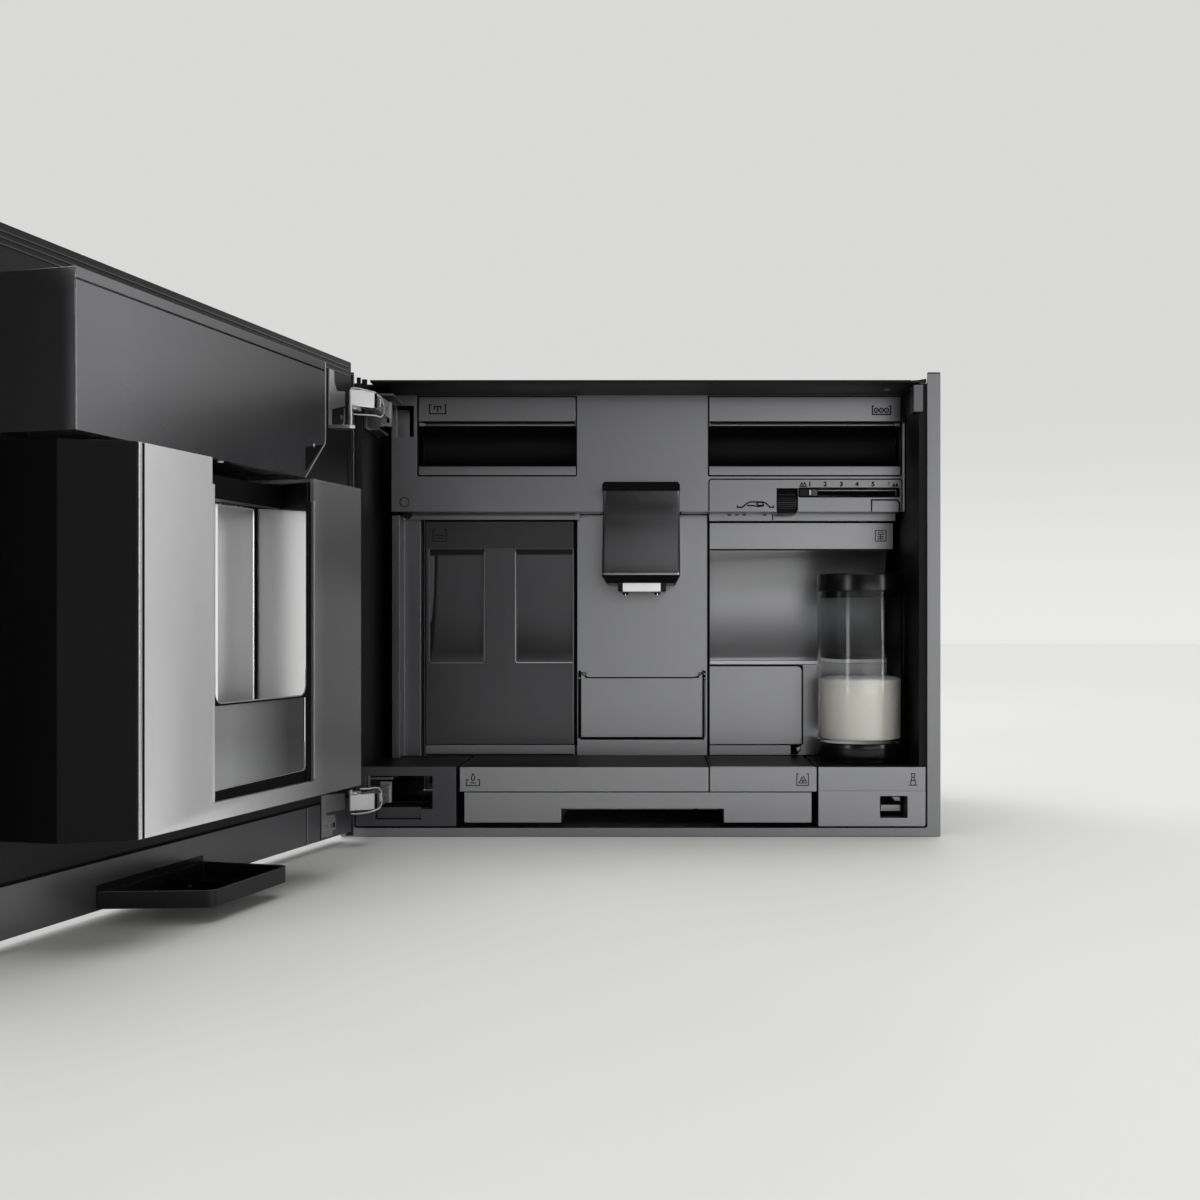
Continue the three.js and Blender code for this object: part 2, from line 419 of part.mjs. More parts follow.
D('niche_lower_panel', alongY([[-65.5, 88.3], [65.5, 88.3], [65.5, 162], ...arc(57.5, 162, 8, 0, -90, 4).slice(1),
  ...arc(-57.5, 162, 8, -90, -180, 4)], 77.3, 79.7), mat(0x2a2b2d, 0.35, 0.3));

// niche housing: back plate with the window, hinge-side wall, floor and short top flanges
D('niche_housing', (() => {
  let h = join(
    box(-BOX_H, BOX_X, BOX_Y - 3, BOX_Y, BOX_Z0, BOX_Z1),
    box(-BOX_H, -BOX_H + 2.5, -0.6, BOX_Y, BOX_Z0, BOX_Z1),
    box(-BOX_H, BOX_X - 1, -0.6, BOX_Y, BOX_Z0, BOX_Z0 + 2.5),
    box(-BOX_H, -WIN_H - 4, -0.6, BOX_Y, BOX_Z1 - 2.5, BOX_Z1),
    box(WIN + 6, BOX_X - 1, -0.6, BOX_Y, BOX_Z1 - 2.5, BOX_Z1));
  h = cut(h, box(-WIN_H, WIN, BOX_Y - 20, BOX_Y + 5, WIN_Z, BOX_Z1 + 10));
  return h;
})(), PALE());
// glossy flared wall on the side away from the hinge
D('niche_side_wall', alongZ([[BOX_X + GAP, BOX_Y - 0.2], [BOX_X + GAP, BOX_Y - 3.4], [BOX_X - 0.2 + 1.6, BOX_Y - 6],
  [173.6, 44.2], [173.6, -0.6], [176.4, -0.6], [176.4, 45.2], [BOX_X + 2.4, BOX_Y - 0.2]].reverse(), BOX_Z0, BOX_Z1), GLASS());

// display housing: a shell with a bevelled hinge-side edge and a chamfered lower corner
const hz0 = HOUSING_Z0, hz1 = HOUSING_Z1;
D('display_housing', (() => {
  const face = [[-136, 362], [-102.6, hz0], [HOUSING_X, hz0], [HOUSING_X, hz1], [-136, hz1]];
  const outer = [[-HOUSING_H, 362], [-110, hz0], [HOUSING_X, hz0], [HOUSING_X, hz1], [-HOUSING_H, hz1]];
  let h = join(alongY(outer, -0.6, HOUSING_Y - 8), alongY(face, HOUSING_Y - 8.2, HOUSING_Y));
  const inner = [[-133, 364], [-100, hz0 + 3], [HOUSING_X - 3, hz0 + 3], [HOUSING_X - 3, hz1 - 3], [-133, hz1 - 3]];
  h = cut(h, alongY(inner, -5, HOUSING_Y - 3), box(-150, HOUSING_X + 5, HOUSING_Y - 1, HOUSING_Y + 2, hz1 - 8.2, hz1 - 7.2));
  return h;
})(), GREY());

// spout on the lower flange: a shallow channel that reaches into the lower drawer
D('drip_spout', (() => {
  const outer = [[-47, -0.5], [79, -0.5], [56, 70], ...arc(50, 70, 6, 0, 90, 3), ...arc(-40, 69, 7, 90, 180, 3)];
  const inner = [[-44, 3], [74.5, 3], [53, 69], [50, 73], [-40, 73], [-44, 69]];
  return cut(alongZ(outer, 11, 23), alongZ(inner, 13, 30));
})(), BLACK());
D('drip_grid', (() => {
  let g = alongZ([[-flare(-8) + 0, -14], [flare(-8) - 0, -14], [flare(0) - 2, 0], [flare(62) - 2, 62], [-flare(62) + 2, 62], [-flare(0) + 2, 0]]
    .map(([x, y]) => [Math.sign(x) * Math.min(Math.abs(x), NICHE - 3), y]), NICHE_Z0 + 0.6 + 4.6, NICHE_Z0 + 0.6 + 7);
  for (let i = 0; i < 13; i++) g = cut(g, box(-69 + i * 11, -63 + i * 11, 2, 54, 80, 110));
  return g;
})(), STEEL());
D('latch_hook', join(box(258, 266, -0.7, 3, 424, 444), box(258, 266, 2, 14, 431, 437), box(258, 266, 11, 14, 427, 437)), SILVER());

// hinge plates on the door: thin plates that taper towards the hinge side, and at the upper one the knuckle under the arm's pin
D('hinge_plate_top', join(
  alongY([[-281.8, 419], [-250.6, 410.4], [-250.6, 428.4], [-281.8, 433]], -0.7, 0.1),
  alongY([[-266, 430], [-250.6, 426], [-250.6, 449.2], [-260.7, 449.2], [-261.2, 437.5]], -0.7, 0.1),
  box(-256.5, -250.6, -0.7, 0.1, 393.4, 412),
  alongZ([[-250.6, -0.7], [-250.6, 3], [-253, 14], [-255, 19.5], [-259.4, 22.5], [-263.6, 20], [-264.4, 15], [-262, 6], [-258, 1.5], [-256.5, -0.7]], 393.4, 396.6)), SILVER());
D('hinge_plate_bottom', join(
  alongY([[-281.8, 32.9], [-245.4, 34.5], [-245.4, 51.2], [-281.8, 48.1]], -0.7, 0.1),
  box(-246, -237, -0.7, 0.1, 12.5, 51.2),
  alongY([[-257, 11.5], [-245.4, 11.5], [-245.4, 31.8], [-263.5, 30.5], [-259, 25]], -0.7, 0.1),
  box(-258.4, -246.6, -0.7, 3, 17.4, 28.4)), SILVER());

export default machine;
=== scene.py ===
import math
import bpy
import bmesh
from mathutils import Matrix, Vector


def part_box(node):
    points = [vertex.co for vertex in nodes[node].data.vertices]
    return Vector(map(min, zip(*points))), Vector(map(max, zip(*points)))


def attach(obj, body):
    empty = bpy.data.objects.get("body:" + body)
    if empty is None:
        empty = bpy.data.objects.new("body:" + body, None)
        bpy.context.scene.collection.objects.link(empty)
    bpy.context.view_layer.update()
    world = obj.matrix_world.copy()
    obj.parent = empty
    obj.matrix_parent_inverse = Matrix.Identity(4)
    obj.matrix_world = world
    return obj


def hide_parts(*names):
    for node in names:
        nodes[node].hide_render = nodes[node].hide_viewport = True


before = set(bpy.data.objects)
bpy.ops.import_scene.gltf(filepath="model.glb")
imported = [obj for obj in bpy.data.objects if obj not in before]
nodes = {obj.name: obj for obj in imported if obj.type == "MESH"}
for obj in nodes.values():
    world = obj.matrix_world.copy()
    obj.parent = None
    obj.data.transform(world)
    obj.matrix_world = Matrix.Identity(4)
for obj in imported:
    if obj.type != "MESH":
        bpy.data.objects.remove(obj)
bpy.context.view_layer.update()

# ------------------------------------------------------------------ places
# Lengths below are millimetres from the trim frame's front plane (y = 0), the machine's centre
# line (x = 0) and its underside (z = 0). The row frame's origin is 187 mm further back.
MM, BACK = 0.001, 187.0
PIVOT = (-299.2, -21.6)
OPEN = math.radians(-104.5)
CO, SO = math.cos(OPEN), math.sin(OPEN)


def at(p):
    return (p[0] * MM, (p[1] - BACK) * MM, p[2] * MM)


def swung(p):
    """A point drawn on the closed door, moved to where the open door has it."""
    dx, dy = p[0] - PIVOT[0], p[1] - PIVOT[1]
    return (PIVOT[0] + CO * dx - SO * dy, PIVOT[1] + SO * dx + CO * dy, p[2])


def px(u, v, y):
    """(x, z) in mm of the photograph's pixel (u, v) on the upright plane at depth y."""
    s = (y + 1327.0) / 1340.0
    return (19.2 + (u - 660.0) * s, 208.5 - (v - 626.0) * s)


def dpx(u, v, y):
    """(x, z) in mm, on the closed door, of the pixel (u, v) for the door's plane at depth y."""
    a = (u - 660.0) / 1340.0
    d = y + 21.6
    w = (318.4 - 0.9681 * d + a * (1305.4 - 0.2504 * d)) / (-0.2504 + 0.9681 * a)
    t = 1305.4 - 0.9681 * w - 0.2504 * d
    return (w - 299.2, 208.5 - (v - 626.0) / 1340.0 * t)


# ------------------------------------------------------------------ camera
cam_data = bpy.data.cameras.new("camera")
cam_data.sensor_width = 36.0
cam_data.lens = 40.2
cam_data.shift_x = -0.05
cam_data.shift_y = 26.0 / 1200.0
cam_data.clip_start = 0.02
cam_data.clip_end = 60.0
camera = bpy.data.objects.new("camera", cam_data)
camera.location = (0.0192, -1.514, 0.2085)
camera.rotation_euler = (math.radians(90), 0, 0)
bpy.context.scene.collection.objects.link(camera)
bpy.context.scene.camera = camera


# ------------------------------------------------------------------ mesh making
def build(name, parts, mat, body, door=False, bevel=0.0, seg=2, angle=32.0, mats=None, sub=0):
    """One object from a list of (verts, faces) or (verts, faces, material index)."""
    bm = bmesh.new()
    for part in parts:
        vs, fs = part[0], part[1]
        idx = part[2] if len(part) > 2 else 0
        made = [bm.verts.new(at(swung(p) if door else p)) for p in vs]
        for k, f in enumerate(fs):
            try:
                face = bm.faces.new([made[i] for i in f])
            except ValueError:
                continue
            face.material_index = idx[k] if isinstance(idx, list) else idx
            face.smooth = True
    bmesh.ops.remove_doubles(bm, verts=bm.verts, dist=1e-7)
    bmesh.ops.recalc_face_normals(bm, faces=bm.faces)
    me = bpy.data.meshes.new(name)
    bm.to_mesh(me)
    bm.free()
    me.set_sharp_from_angle(angle=math.radians(angle))
    for m in (mats or [mat]):
        me.materials.append(m)
    ob = bpy.data.objects.new(name, me)
    bpy.context.scene.collection.objects.link(ob)
    if bevel:
        b = ob.modifiers.new("edges", "BEVEL")
        b.width = bevel * MM
        b.segments = seg
        b.limit_method = "ANGLE"
        b.angle_limit = math.radians(angle)
        b.use_clamp_overlap = True
        b.harden_normals = False
        w = ob.modifiers.new("normals", "WEIGHTED_NORMAL")
        w.weight = 50
        w.keep_sharp = False
    if sub:
        s = ob.modifiers.new("fine", "SUBSURF")
        s.levels = s.render_levels = sub
    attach(ob, body)
    return ob


def prism(outline, a0, a1, axis):
    """An outline carried along an axis: 'y' takes (x, z), 'z' takes (x, y), 'x' takes (y, z)."""
    n = len(outline)

    def put(p, a):
        return {"y": (p[0], a, p[1]), "z": (p[0], p[1], a), "x": (a, p[0], p[1])}[axis]

    vs = [put(p, a0) for p in outline] + [put(p, a1) for p in outline]
    fs = [list(range(n)), [n + i for i in reversed(range(n))]]
    fs += [[i, (i + 1) % n, n + (i + 1) % n, n + i] for i in range(n)]
    return vs, fs


def block(x0, x1, y0, y1, z0, z1):
    return prism([(x0, z0), (x1, z0), (x1, z1), (x0, z1)], y0, y1, "y")


def rounded(u0, u1, v0, v1, r, n=6):
    q = r if isinstance(r, (list, tuple)) else [r] * 4
    out = []
    for (cx, cy, rr, a0) in ((u0 + q[0], v0 + q[0], q[0], 180), (u1 - q[1], v0 + q[1], q[1], 270),
                             (u1 - q[2], v1 - q[2], q[2], 0), (u0 + q[3], v1 - q[3], q[3], 90)):
        if rr <= 0:
            out.append((cx, cy))
        else:
            out += [(cx + rr * math.cos(math.radians(a0 + 90 * i / n)), cy + rr * math.sin(math.radians(a0 + 90 * i / n))) for i in range(n + 1)]
    return out


def arc(cx, cy, r, a0, a1, n):
    return [(cx + r * math.cos(math.radians(a0 + (a1 - a0) * i / n)), cy + r * math.sin(math.radians(a0 + (a1 - a0) * i / n))) for i in range(n + 1)]


def lathe(profile, c, n=64, axis="z"):
    """(radius, height) pairs turned about an axis through c (the two other coordinates)."""
    vs, fs = [], []
    rings = []
    for r, h in profile:
        if r <= 1e-6:
            vs.append(_ax(0, 0, h, c, axis))
            rings.append([len(vs) - 1])
        else:
            start = len(vs)
            for i in range(n):
                t = 2 * math.pi * i / n
                vs.append(_ax(r * math.cos(t), r * math.sin(t), h, c, axis))
            rings.append(list(range(start, start + n)))
    for a, b in zip(rings, rings[1:]):
        for i in range(n):
            j = (i + 1) % n
            if len(a) == 1 and len(b) == 1:
                continue
            if len(a) == 1:
                fs.append([a[0], b[i], b[j]])
            elif len(b) == 1:
                fs.append([a[i], a[j], b[0]])
            else:
                fs.append([a[i], a[j], b[j], b[i]])
    return vs, fs


def _ax(u, v, h, c, axis):
    if axis == "z":
        return (c[0] + u, c[1] + v, h)
    if axis == "y":
        return (c[0] + u, h, c[1] + v)
    return (h, c[0] + u, c[1] + v)


def ribbon(pts, w, y0, y1, closed=False, axis="y"):
    """A line of width w drawn through pts, y0 to y1 thick."""
    n = len(pts)
    left, right = [], []
    for i, p in enumerate(pts):
        a = pts[i - 1] if (i > 0 or closed) else None
        b = pts[(i + 1) % n] if (i < n - 1 or closed) else None
        dirs = []
        if a is not None:
            d = Vector((p[0] - a[0], p[1] - a[1]))
            if d.length > 1e-9:
                dirs.append(d.normalized())
        if b is not None:
            d = Vector((b[0] - p[0], b[1] - p[1]))
            if d.length > 1e-9:
                dirs.append(d.normalized())
        m = sum(dirs, Vector((0, 0)))
        m = dirs[0] if m.length < 1e-6 else m.normalized()
        nn = Vector((-m.y, m.x))
        cosine = max(0.4, abs(nn.dot(Vector((-dirs[0].y, dirs[0].x)))))
        off = nn * (w / 2 / cosine)
        left.append((p[0] + off.x, p[1] + off.y))
        right.append((p[0] - off.x, p[1] - off.y))

    def put(p, a):
        return {"y": (p[0], a, p[1]), "z": (p[0], p[1], a), "x": (a, p[0], p[1])}[axis]

    vs = []
    for i in range(n):
        vs += [put(left[i], y0), put(right[i], y0), put(right[i], y1), put(left[i], y1)]
    fs = []
    last = n if closed else n - 1
    for i in range(last):
        j = (i + 1) % n
        for k in range(4):
            fs.append([4 * i + k, 4 * i + (k + 1) % 4, 4 * j + (k + 1) % 4, 4 * j + k])
    if not closed:
        fs += [[0, 3, 2, 1], [4 * (n - 1) + k for k in range(4)]]
    return vs, fs


def tube(pts, r, n=12, closed=False, fine=1):
    """A round wire through pts."""
    p = [Vector(q) for q in pts]
    if fine > 1:
        q = []
        m = len(p)
        for i in range(m if closed else m - 1):
            p0 = p[(i - 1) % m] if (closed or i > 0) else p[0]
            p1, p2 = p[i], p[(i + 1) % m]
            p3 = p[(i + 2) % m] if (closed or i + 2 < m) else p[-1]
            for k in range(fine):
                t = k / fine
                q.append(0.5 * ((2 * p1) + (p2 - p0) * t + (2 * p0 - 5 * p1 + 4 * p2 - p3) * t * t + (3 * p1 - p0 - 3 * p2 + p3) * t ** 3))
        if not closed:
            q.append(p[-1])
        p = q
    m = len(p)
    vs, fs = [], []
    side = None
    for i in range(m):
        a = p[(i - 1) % m] if (closed or i > 0) else p[i]
        b = p[(i + 1) % m] if (closed or i < m - 1) else p[i]
        d = (b - a).normalized()
        if side is None:
            side = d.orthogonal().normalized()
        side = (side - d * side.dot(d)).normalized()
        up = d.cross(side)
        for k in range(n):
            t = 2 * math.pi * k / n
            w = p[i] + (side * math.cos(t) + up * math.sin(t)) * r
            vs.append((w.x, w.y, w.z))
    for i in range(m if closed else m - 1):
        j = (i + 1) % m
        for k in range(n):
            fs.append([i * n + k, i * n + (k + 1) % n, j * n + (k + 1) % n, j * n + k])
    if not closed:
        fs += [list(reversed(range(n))), [(m - 1) * n + k for k in range(n)]]
    return vs, fs


def loft(sections):
    """Closed loops of equal length joined one to the next, capped at both ends."""
    n = len(sections[0])
    vs = [p for s in sections for p in s]
    fs = []
    for i in range(len(sections) - 1):
        for k in range(n):
            fs.append([i * n + k, i * n + (k + 1) % n, (i + 1) * n + (k + 1) % n, (i + 1) * n + k])
    fs += [list(reversed(range(n))), [(len(sections) - 1) * n + k for k in range(n)]]
    return vs, fs


# ------------------------------------------------------------------ materials
def finish(name, rgb, rough, metal=0.0, spec=0.5, blotch=0.05, blotch_scale=9.0, grain=1500.0, grain_amt=0.05,
           streak=None, streak_amt=0.0, rough_var=0.04, coat=0.0, coat_rough=0.08, transmission=0.0, ior=1.46, alpha=1.0, sss=0.0):
    m = bpy.data.materials.new(name)
    m.use_nodes = True
    nt = m.node_tree
    p = nt.nodes["Principled BSDF"]
    p.inputs["Metallic"].default_value = metal
    p.inputs["Specular IOR Level"].default_value = spec
    p.inputs["IOR"].default_value = ior
    p.inputs["Coat Weight"].default_value = coat
    p.inputs["Coat Roughness"].default_value = coat_rough
    p.inputs["Transmission Weight"].default_value = transmission
    p.inputs["Alpha"].default_value = alpha
    if sss:
        p.inputs["Subsurface Weight"].default_value = sss
        p.inputs["Subsurface Scale"].default_value = 0.01
        p.inputs["Subsurface Radius"].default_value = (1.0, 0.8, 0.6)
    tc = nt.nodes.new("ShaderNodeTexCoord")
    big = nt.nodes.new("ShaderNodeTexNoise")
    big.inputs["Scale"].default_value = blotch_scale
    big.inputs["Detail"].default_value = 3.0
    nt.links.new(tc.outputs["Object"], big.inputs["Vector"])
    mix = nt.nodes.new("ShaderNodeMix")
    mix.data_type = "RGBA"
    lo = [max(0.0, c * (1 - blotch)) for c in rgb] + [1.0]
    hi = [min(1.0, c * (1 + blotch)) for c in rgb] + [1.0]
    mix.inputs[6].default_value = lo
    mix.inputs[7].default_value = hi
    nt.links.new(big.outputs["Fac"], mix.inputs[0])
    colour = mix.outputs[2]
    rough_from = big.outputs["Fac"]
    small = nt.nodes.new("ShaderNodeTexNoise")
    small.inputs["Scale"].default_value = grain
    small.inputs["Detail"].default_value = 2.0
    nt.links.new(tc.outputs["Object"], small.inputs["Vector"])
    bump = nt.nodes.new("ShaderNodeBump")
    bump.inputs["Strength"].default_value = grain_amt
    bump.inputs["Distance"].default_value = 0.0003
    height = small.outputs["Fac"]
    if streak:
        mp = nt.nodes.new("ShaderNodeMapping")
        mp.inputs["Scale"].default_value = streak
        nt.links.new(tc.outputs["Object"], mp.inputs["Vector"])
        st = nt.nodes.new("ShaderNodeTexNoise")
        st.inputs["Scale"].default_value = 1.0
        st.inputs["Detail"].default_value = 2.0
        nt.links.new(mp.outputs["Vector"], st.inputs["Vector"])
        mix2 = nt.nodes.new("ShaderNodeMix")
        mix2.data_type = "RGBA"
        mix2.blend_type = "OVERLAY"
        mix2.inputs[0].default_value = streak_amt
        nt.links.new(colour, mix2.inputs[6])
        nt.links.new(st.outputs["Fac"], mix2.inputs[7])
        colour = mix2.outputs[2]
        height = st.outputs["Fac"]
        rough_from = st.outputs["Fac"]
    nt.links.new(height, bump.inputs["Height"])
    rr = nt.nodes.new("ShaderNodeMapRange")
    rr.inputs["From Min"].default_value = 0.3
    rr.inputs["From Max"].default_value = 0.7
    rr.inputs["To Min"].default_value = max(0.01, rough - rough_var)
    rr.inputs["To Max"].default_value = rough + rough_var
    nt.links.new(rough_from, rr.inputs["Value"])
    nt.links.new(colour, p.inputs["Base Color"])
    nt.links.new(rr.outputs["Result"], p.inputs["Roughness"])
    nt.links.new(bump.outputs["Normal"], p.inputs["Normal"])
    return m


VERT = (1100.0, 1100.0, 7.0)       # fine lines that run up and down
M = {}
M["moulding"] = finish("metallic grey moulding", (0.292, 0.294, 0.308), 0.31, metal=0.93, blotch=0.03, grain=1900, grain_amt=0.02, rough_var=0.015)
M["fascia"] = finish("metallic grey fascia", (0.248, 0.250, 0.264), 0.31, metal=0.93, blotch=0.03, grain=1900, grain_amt=0.02, rough_var=0.015)
M["ledge"] = finish("light grey moulding", (0.30, 0.302, 0.315), 0.36, metal=0.9, blotch=0.05, grain_amt=0.03)
M["frame"] = finish("satin painted frame", (0.245, 0.247, 0.262), 0.35, metal=0.9, blotch=0.04, grain=2200, grain_amt=0.04)
M["dark"] = finish("dark grey moulding", (0.085, 0.085, 0.094), 0.36, metal=0.8, blotch=0.08, grain_amt=0.04)
M["mid"] = finish("shaded grey moulding", (0.15, 0.151, 0.162), 0.36, metal=0.85, blotch=0.06, grain_amt=0.03)
M["shell"] = finish("black sheet steel", (0.0045, 0.0045, 0.0052), 0.5, spec=0.22, blotch=0.2, grain=1200, grain_amt=0.08, rough_var=0.06)
M["black"] = finish("satin black moulding", (0.004, 0.004, 0.0045), 0.38, spec=0.28, blotch=0.2, grain_amt=0.05)
M["gloss"] = finish("polished black", (0.004, 0.004, 0.005), 0.16, spec=0.5, blotch=0.2, grain=500, grain_amt=0.006, rough_var=0.03, coat=0.25, coat_rough=0.1)
M["spout"] = finish("black spout moulding", (0.0035, 0.0035, 0.004), 0.3, spec=0.3, blotch=0.2, grain=700, grain_amt=0.02)
M["wall"] = finish("matt black niche wall", (0.0035, 0.0035, 0.004), 0.45, spec=0.12, blotch=0.15, grain=1500, grain_amt=0.03)
# black; laid in the drawers' grip hollows it is painted shade in the recess
M["recess"] = finish("black grip lining, painted shade", (0.0035, 0.0035, 0.004), 0.45, spec=0.12, blotch=0.2, grain_amt=0.02)
M["tank"] = finish("smoky tank plastic", (0.092, 0.092, 0.099), 0.33, metal=0.85, blotch=0.08, grain=900, grain_amt=0.02)
M["tankband"] = finish("tank band", (0.062, 0.062, 0.066), 0.33, metal=0.85, blotch=0.06, grain=900, grain_amt=0.02)
M["panel"] = finish("light satin metal cover", (0.86, 0.86, 0.88), 0.26, metal=0.6, blotch=0.02, grain=1900, grain_amt=0.007, rough_var=0.012)
M["housing"] = finish("satin grey housing", (0.195, 0.195, 0.205), 0.27, metal=0.96, blotch=0.03, grain=1900, grain_amt=0.007, rough_var=0.012)
M["flange"] = finish("dark grey door edge", (0.17, 0.17, 0.18), 0.3, metal=0.92, blotch=0.04, grain=1900, grain_amt=0.02, rough_var=0.015)
M["steel"] = finish("brushed stainless", (0.60, 0.60, 0.61), 0.26, metal=1.0, blotch=0.03, streak=(1600.0, 1600.0, 9.0), streak_amt=0.08, grain_amt=0.03)
M["liner"] = finish("satin stainless liner", (0.86, 0.86, 0.87), 0.3, metal=1.0, blotch=0.02, streak=(900.0, 900.0, 6.0), streak_amt=0.025, grain_amt=0.008, rough_var=0.01)
M["liner_shade"] = finish("satin stainless, shaded face", (0.41, 0.41, 0.415), 0.42, metal=0.9, blotch=0.02, streak=(900.0, 900.0, 6.0), streak_amt=0.02, grain_amt=0.008, rough_var=0.01)
M["cap"] = finish("black jar cap", (0.004, 0.004, 0.0045), 0.24, spec=0.4, blotch=0.2, grain=500, grain_amt=0.006, rough_var=0.03)
M["bright"] = finish("bright trim", (0.85, 0.85, 0.86), 0.22, metal=1.0, blotch=0.03, grain=2500, grain_amt=0.02)
M["nozzle"] = finish("polished nozzle plate", (0.95, 0.95, 0.95), 0.3, metal=0.75, blotch=0.02, grain=2500, grain_amt=0.02)
M["plated"] = finish("plated hinge steel", (0.36, 0.36, 0.37), 0.33, metal=0.75, blotch=0.05, blotch_scale=60, grain=1800, grain_amt=0.06, rough_var=0.07)
M["plated_dark"] = finish("plated hinge steel, in the shade", (0.22, 0.22, 0.23), 0.33, metal=0.9, blotch=0.1, blotch_scale=60, grain=1800, grain_amt=0.06)
M["plated_grey"] = finish("plated hinge plate", (0.40, 0.40, 0.41), 0.38, metal=0.85, blotch=0.08, blotch_scale=60, grain=1800, grain_amt=0.06)
M["outlet"] = finish("outlet face", (0.165, 0.166, 0.175), 0.27, metal=0.9, blotch=0.04, grain=1900, grain_amt=0.02, rough_var=0.015)
M["lowpanel"] = finish("see-through panel, painted shade towards the hinge", (0.55, 0.555, 0.565), 0.24, metal=0.7, blotch=0.04, grain_amt=0.015)
M["print"] = finish("printed symbol", (0.006, 0.006, 0.007), 0.5, spec=0.2, blotch=0.2, grain_amt=0.02)
M["mark"] = finish("white mark", (0.85, 0.85, 0.83), 0.4, blotch=0.05, grain_amt=0.02)
M["groove"] = finish("shadow groove", (0.002, 0.002, 0.0025), 0.7, spec=0.1, blotch=0.2, grain_amt=0.05)
M["edge"] = finish("lit edge", (0.55, 0.55, 0.56), 0.35, metal=0.8, blotch=0.05, grain_amt=0.03)
M["faint"] = finish("faint lit edge", (0.24, 0.24, 0.25), 0.38, metal=0.8, blotch=0.05, grain_amt=0.03)
M["glass_front"] = finish("black front glass", (0.004, 0.004, 0.005), 0.05, blotch=0.2, blotch_scale=4, grain=60, grain_amt=0.002, rough_var=0.015, coat=0.6, coat_rough=0.03)
M["jar"] = finish("clear jar, painted shade above the milk", (0.70, 0.71, 0.715), 0.03, blotch=0.01, blotch_scale=20, grain=200, grain_amt=0.003, rough_var=0.01, transmission=1.0, ior=1.04, coat=0.6, coat_rough=0.05)
# painted shade: the glass keeps its dark tint above the milk and turns clear from just above the foam down, so the
# empty upper part reads shaded and the milk bright
jn = M["jar"].node_tree
jtc, jsep, jar_shade_ramp = jn.nodes.new("ShaderNodeTexCoord"), jn.nodes.new("ShaderNodeSeparateXYZ"), jn.nodes.new("ShaderNodeMapRange")
jn.links.new(jtc.outputs["Object"], jsep.inputs["Vector"])
jn.links.new(jsep.outputs["Z"], jar_shade_ramp.inputs["Value"])
for key, value in (("From Min", 0.168), ("From Max", 0.186), ("To Min", 0.0), ("To Max", 1.0)):
    jar_shade_ramp.inputs[key].default_value = value
jar_shade_mix = jn.nodes.new("ShaderNodeMix")
jar_shade_mix.data_type = "RGBA"
jar_shade_mix.inputs[6].default_value = (0.985, 0.985, 0.985, 1)
jn.links.new(jar_shade_ramp.outputs["Result"], jar_shade_mix.inputs[0])
jn.links.new(jn.nodes["Principled BSDF"].inputs["Base Color"].links[0].from_socket, jar_shade_mix.inputs[7])
jn.links.new(jar_shade_mix.outputs[2], jn.nodes["Principled BSDF"].inputs["Base Color"])
M["lid"] = finish("clear lid", (0.9, 0.92, 0.93), 0.06, blotch=0.02, blotch_scale=20, grain=300, grain_amt=0.004, rough_var=0.02, transmission=0.9, ior=1.4)
M["milk"] = finish("milk", (0.90, 0.87, 0.79), 0.35, blotch=0.02, blotch_scale=25, grain=120, grain_amt=0.01, sss=0.3)
M["foam"] = finish("milk foam", (0.96, 0.955, 0.93), 0.55, blotch=0.02, blotch_scale=120, grain=900, grain_amt=0.1, sss=0.3)
M["inner"] = finish("plain inner moulding", (0.03, 0.03, 0.033), 0.5, blotch=0.15, grain=700, grain_amt=0.08)
M["hose"] = finish("milky silicone", (0.62, 0.62, 0.58), 0.45, blotch=0.04, blotch_scale=60, grain=900, grain_amt=0.05, transmission=0.25)
M["rubber"] = finish("black seal", (0.008, 0.008, 0.009), 0.7, spec=0.25, blotch=0.2, grain=1100, grain_amt=0.15)


def spangle(name, rgb, rough):
    """Galvanised sheet: pale crystals of differing tone."""
    m = finish(name, rgb, rough, metal=0.9, blotch=0.06, blotch_scale=14, grain=900, grain_amt=0.05)
    nt = m.node_tree
    p = nt.nodes["Principled BSDF"]
    tc = next(n for n in nt.nodes if n.type == "TEX_COORD")
    vo = nt.nodes.new("ShaderNodeTexVoronoi")
    vo.inputs["Scale"].default_value = 90.0
    nt.links.new(tc.outputs["Object"], vo.inputs["Vector"])
    ramp = nt.nodes.new("ShaderNodeMix")
    ramp.data_type = "RGBA"
    ramp.inputs[6].default_value = [c * 0.82 for c in rgb] + [1]
    ramp.inputs[7].default_value = [min(1, c * 1.12) for c in rgb] + [1]
    sep = nt.nodes.new("ShaderNodeSeparateColor")
    nt.links.new(vo.outputs["Color"], sep.inputs["Color"])
    nt.links.new(sep.outputs[0], ramp.inputs[0])
    nt.links.new(ramp.outputs[2], p.inputs["Base Color"])
    return m


M["zinc"] = spangle("galvanised sheet", (0.42, 0.43, 0.44), 0.42)
M["cast"] = finish("cast aluminium", (0.5, 0.5, 0.51), 0.5, metal=0.9, blotch=0.1, blotch_scale=40, grain=500, grain_amt=0.25)


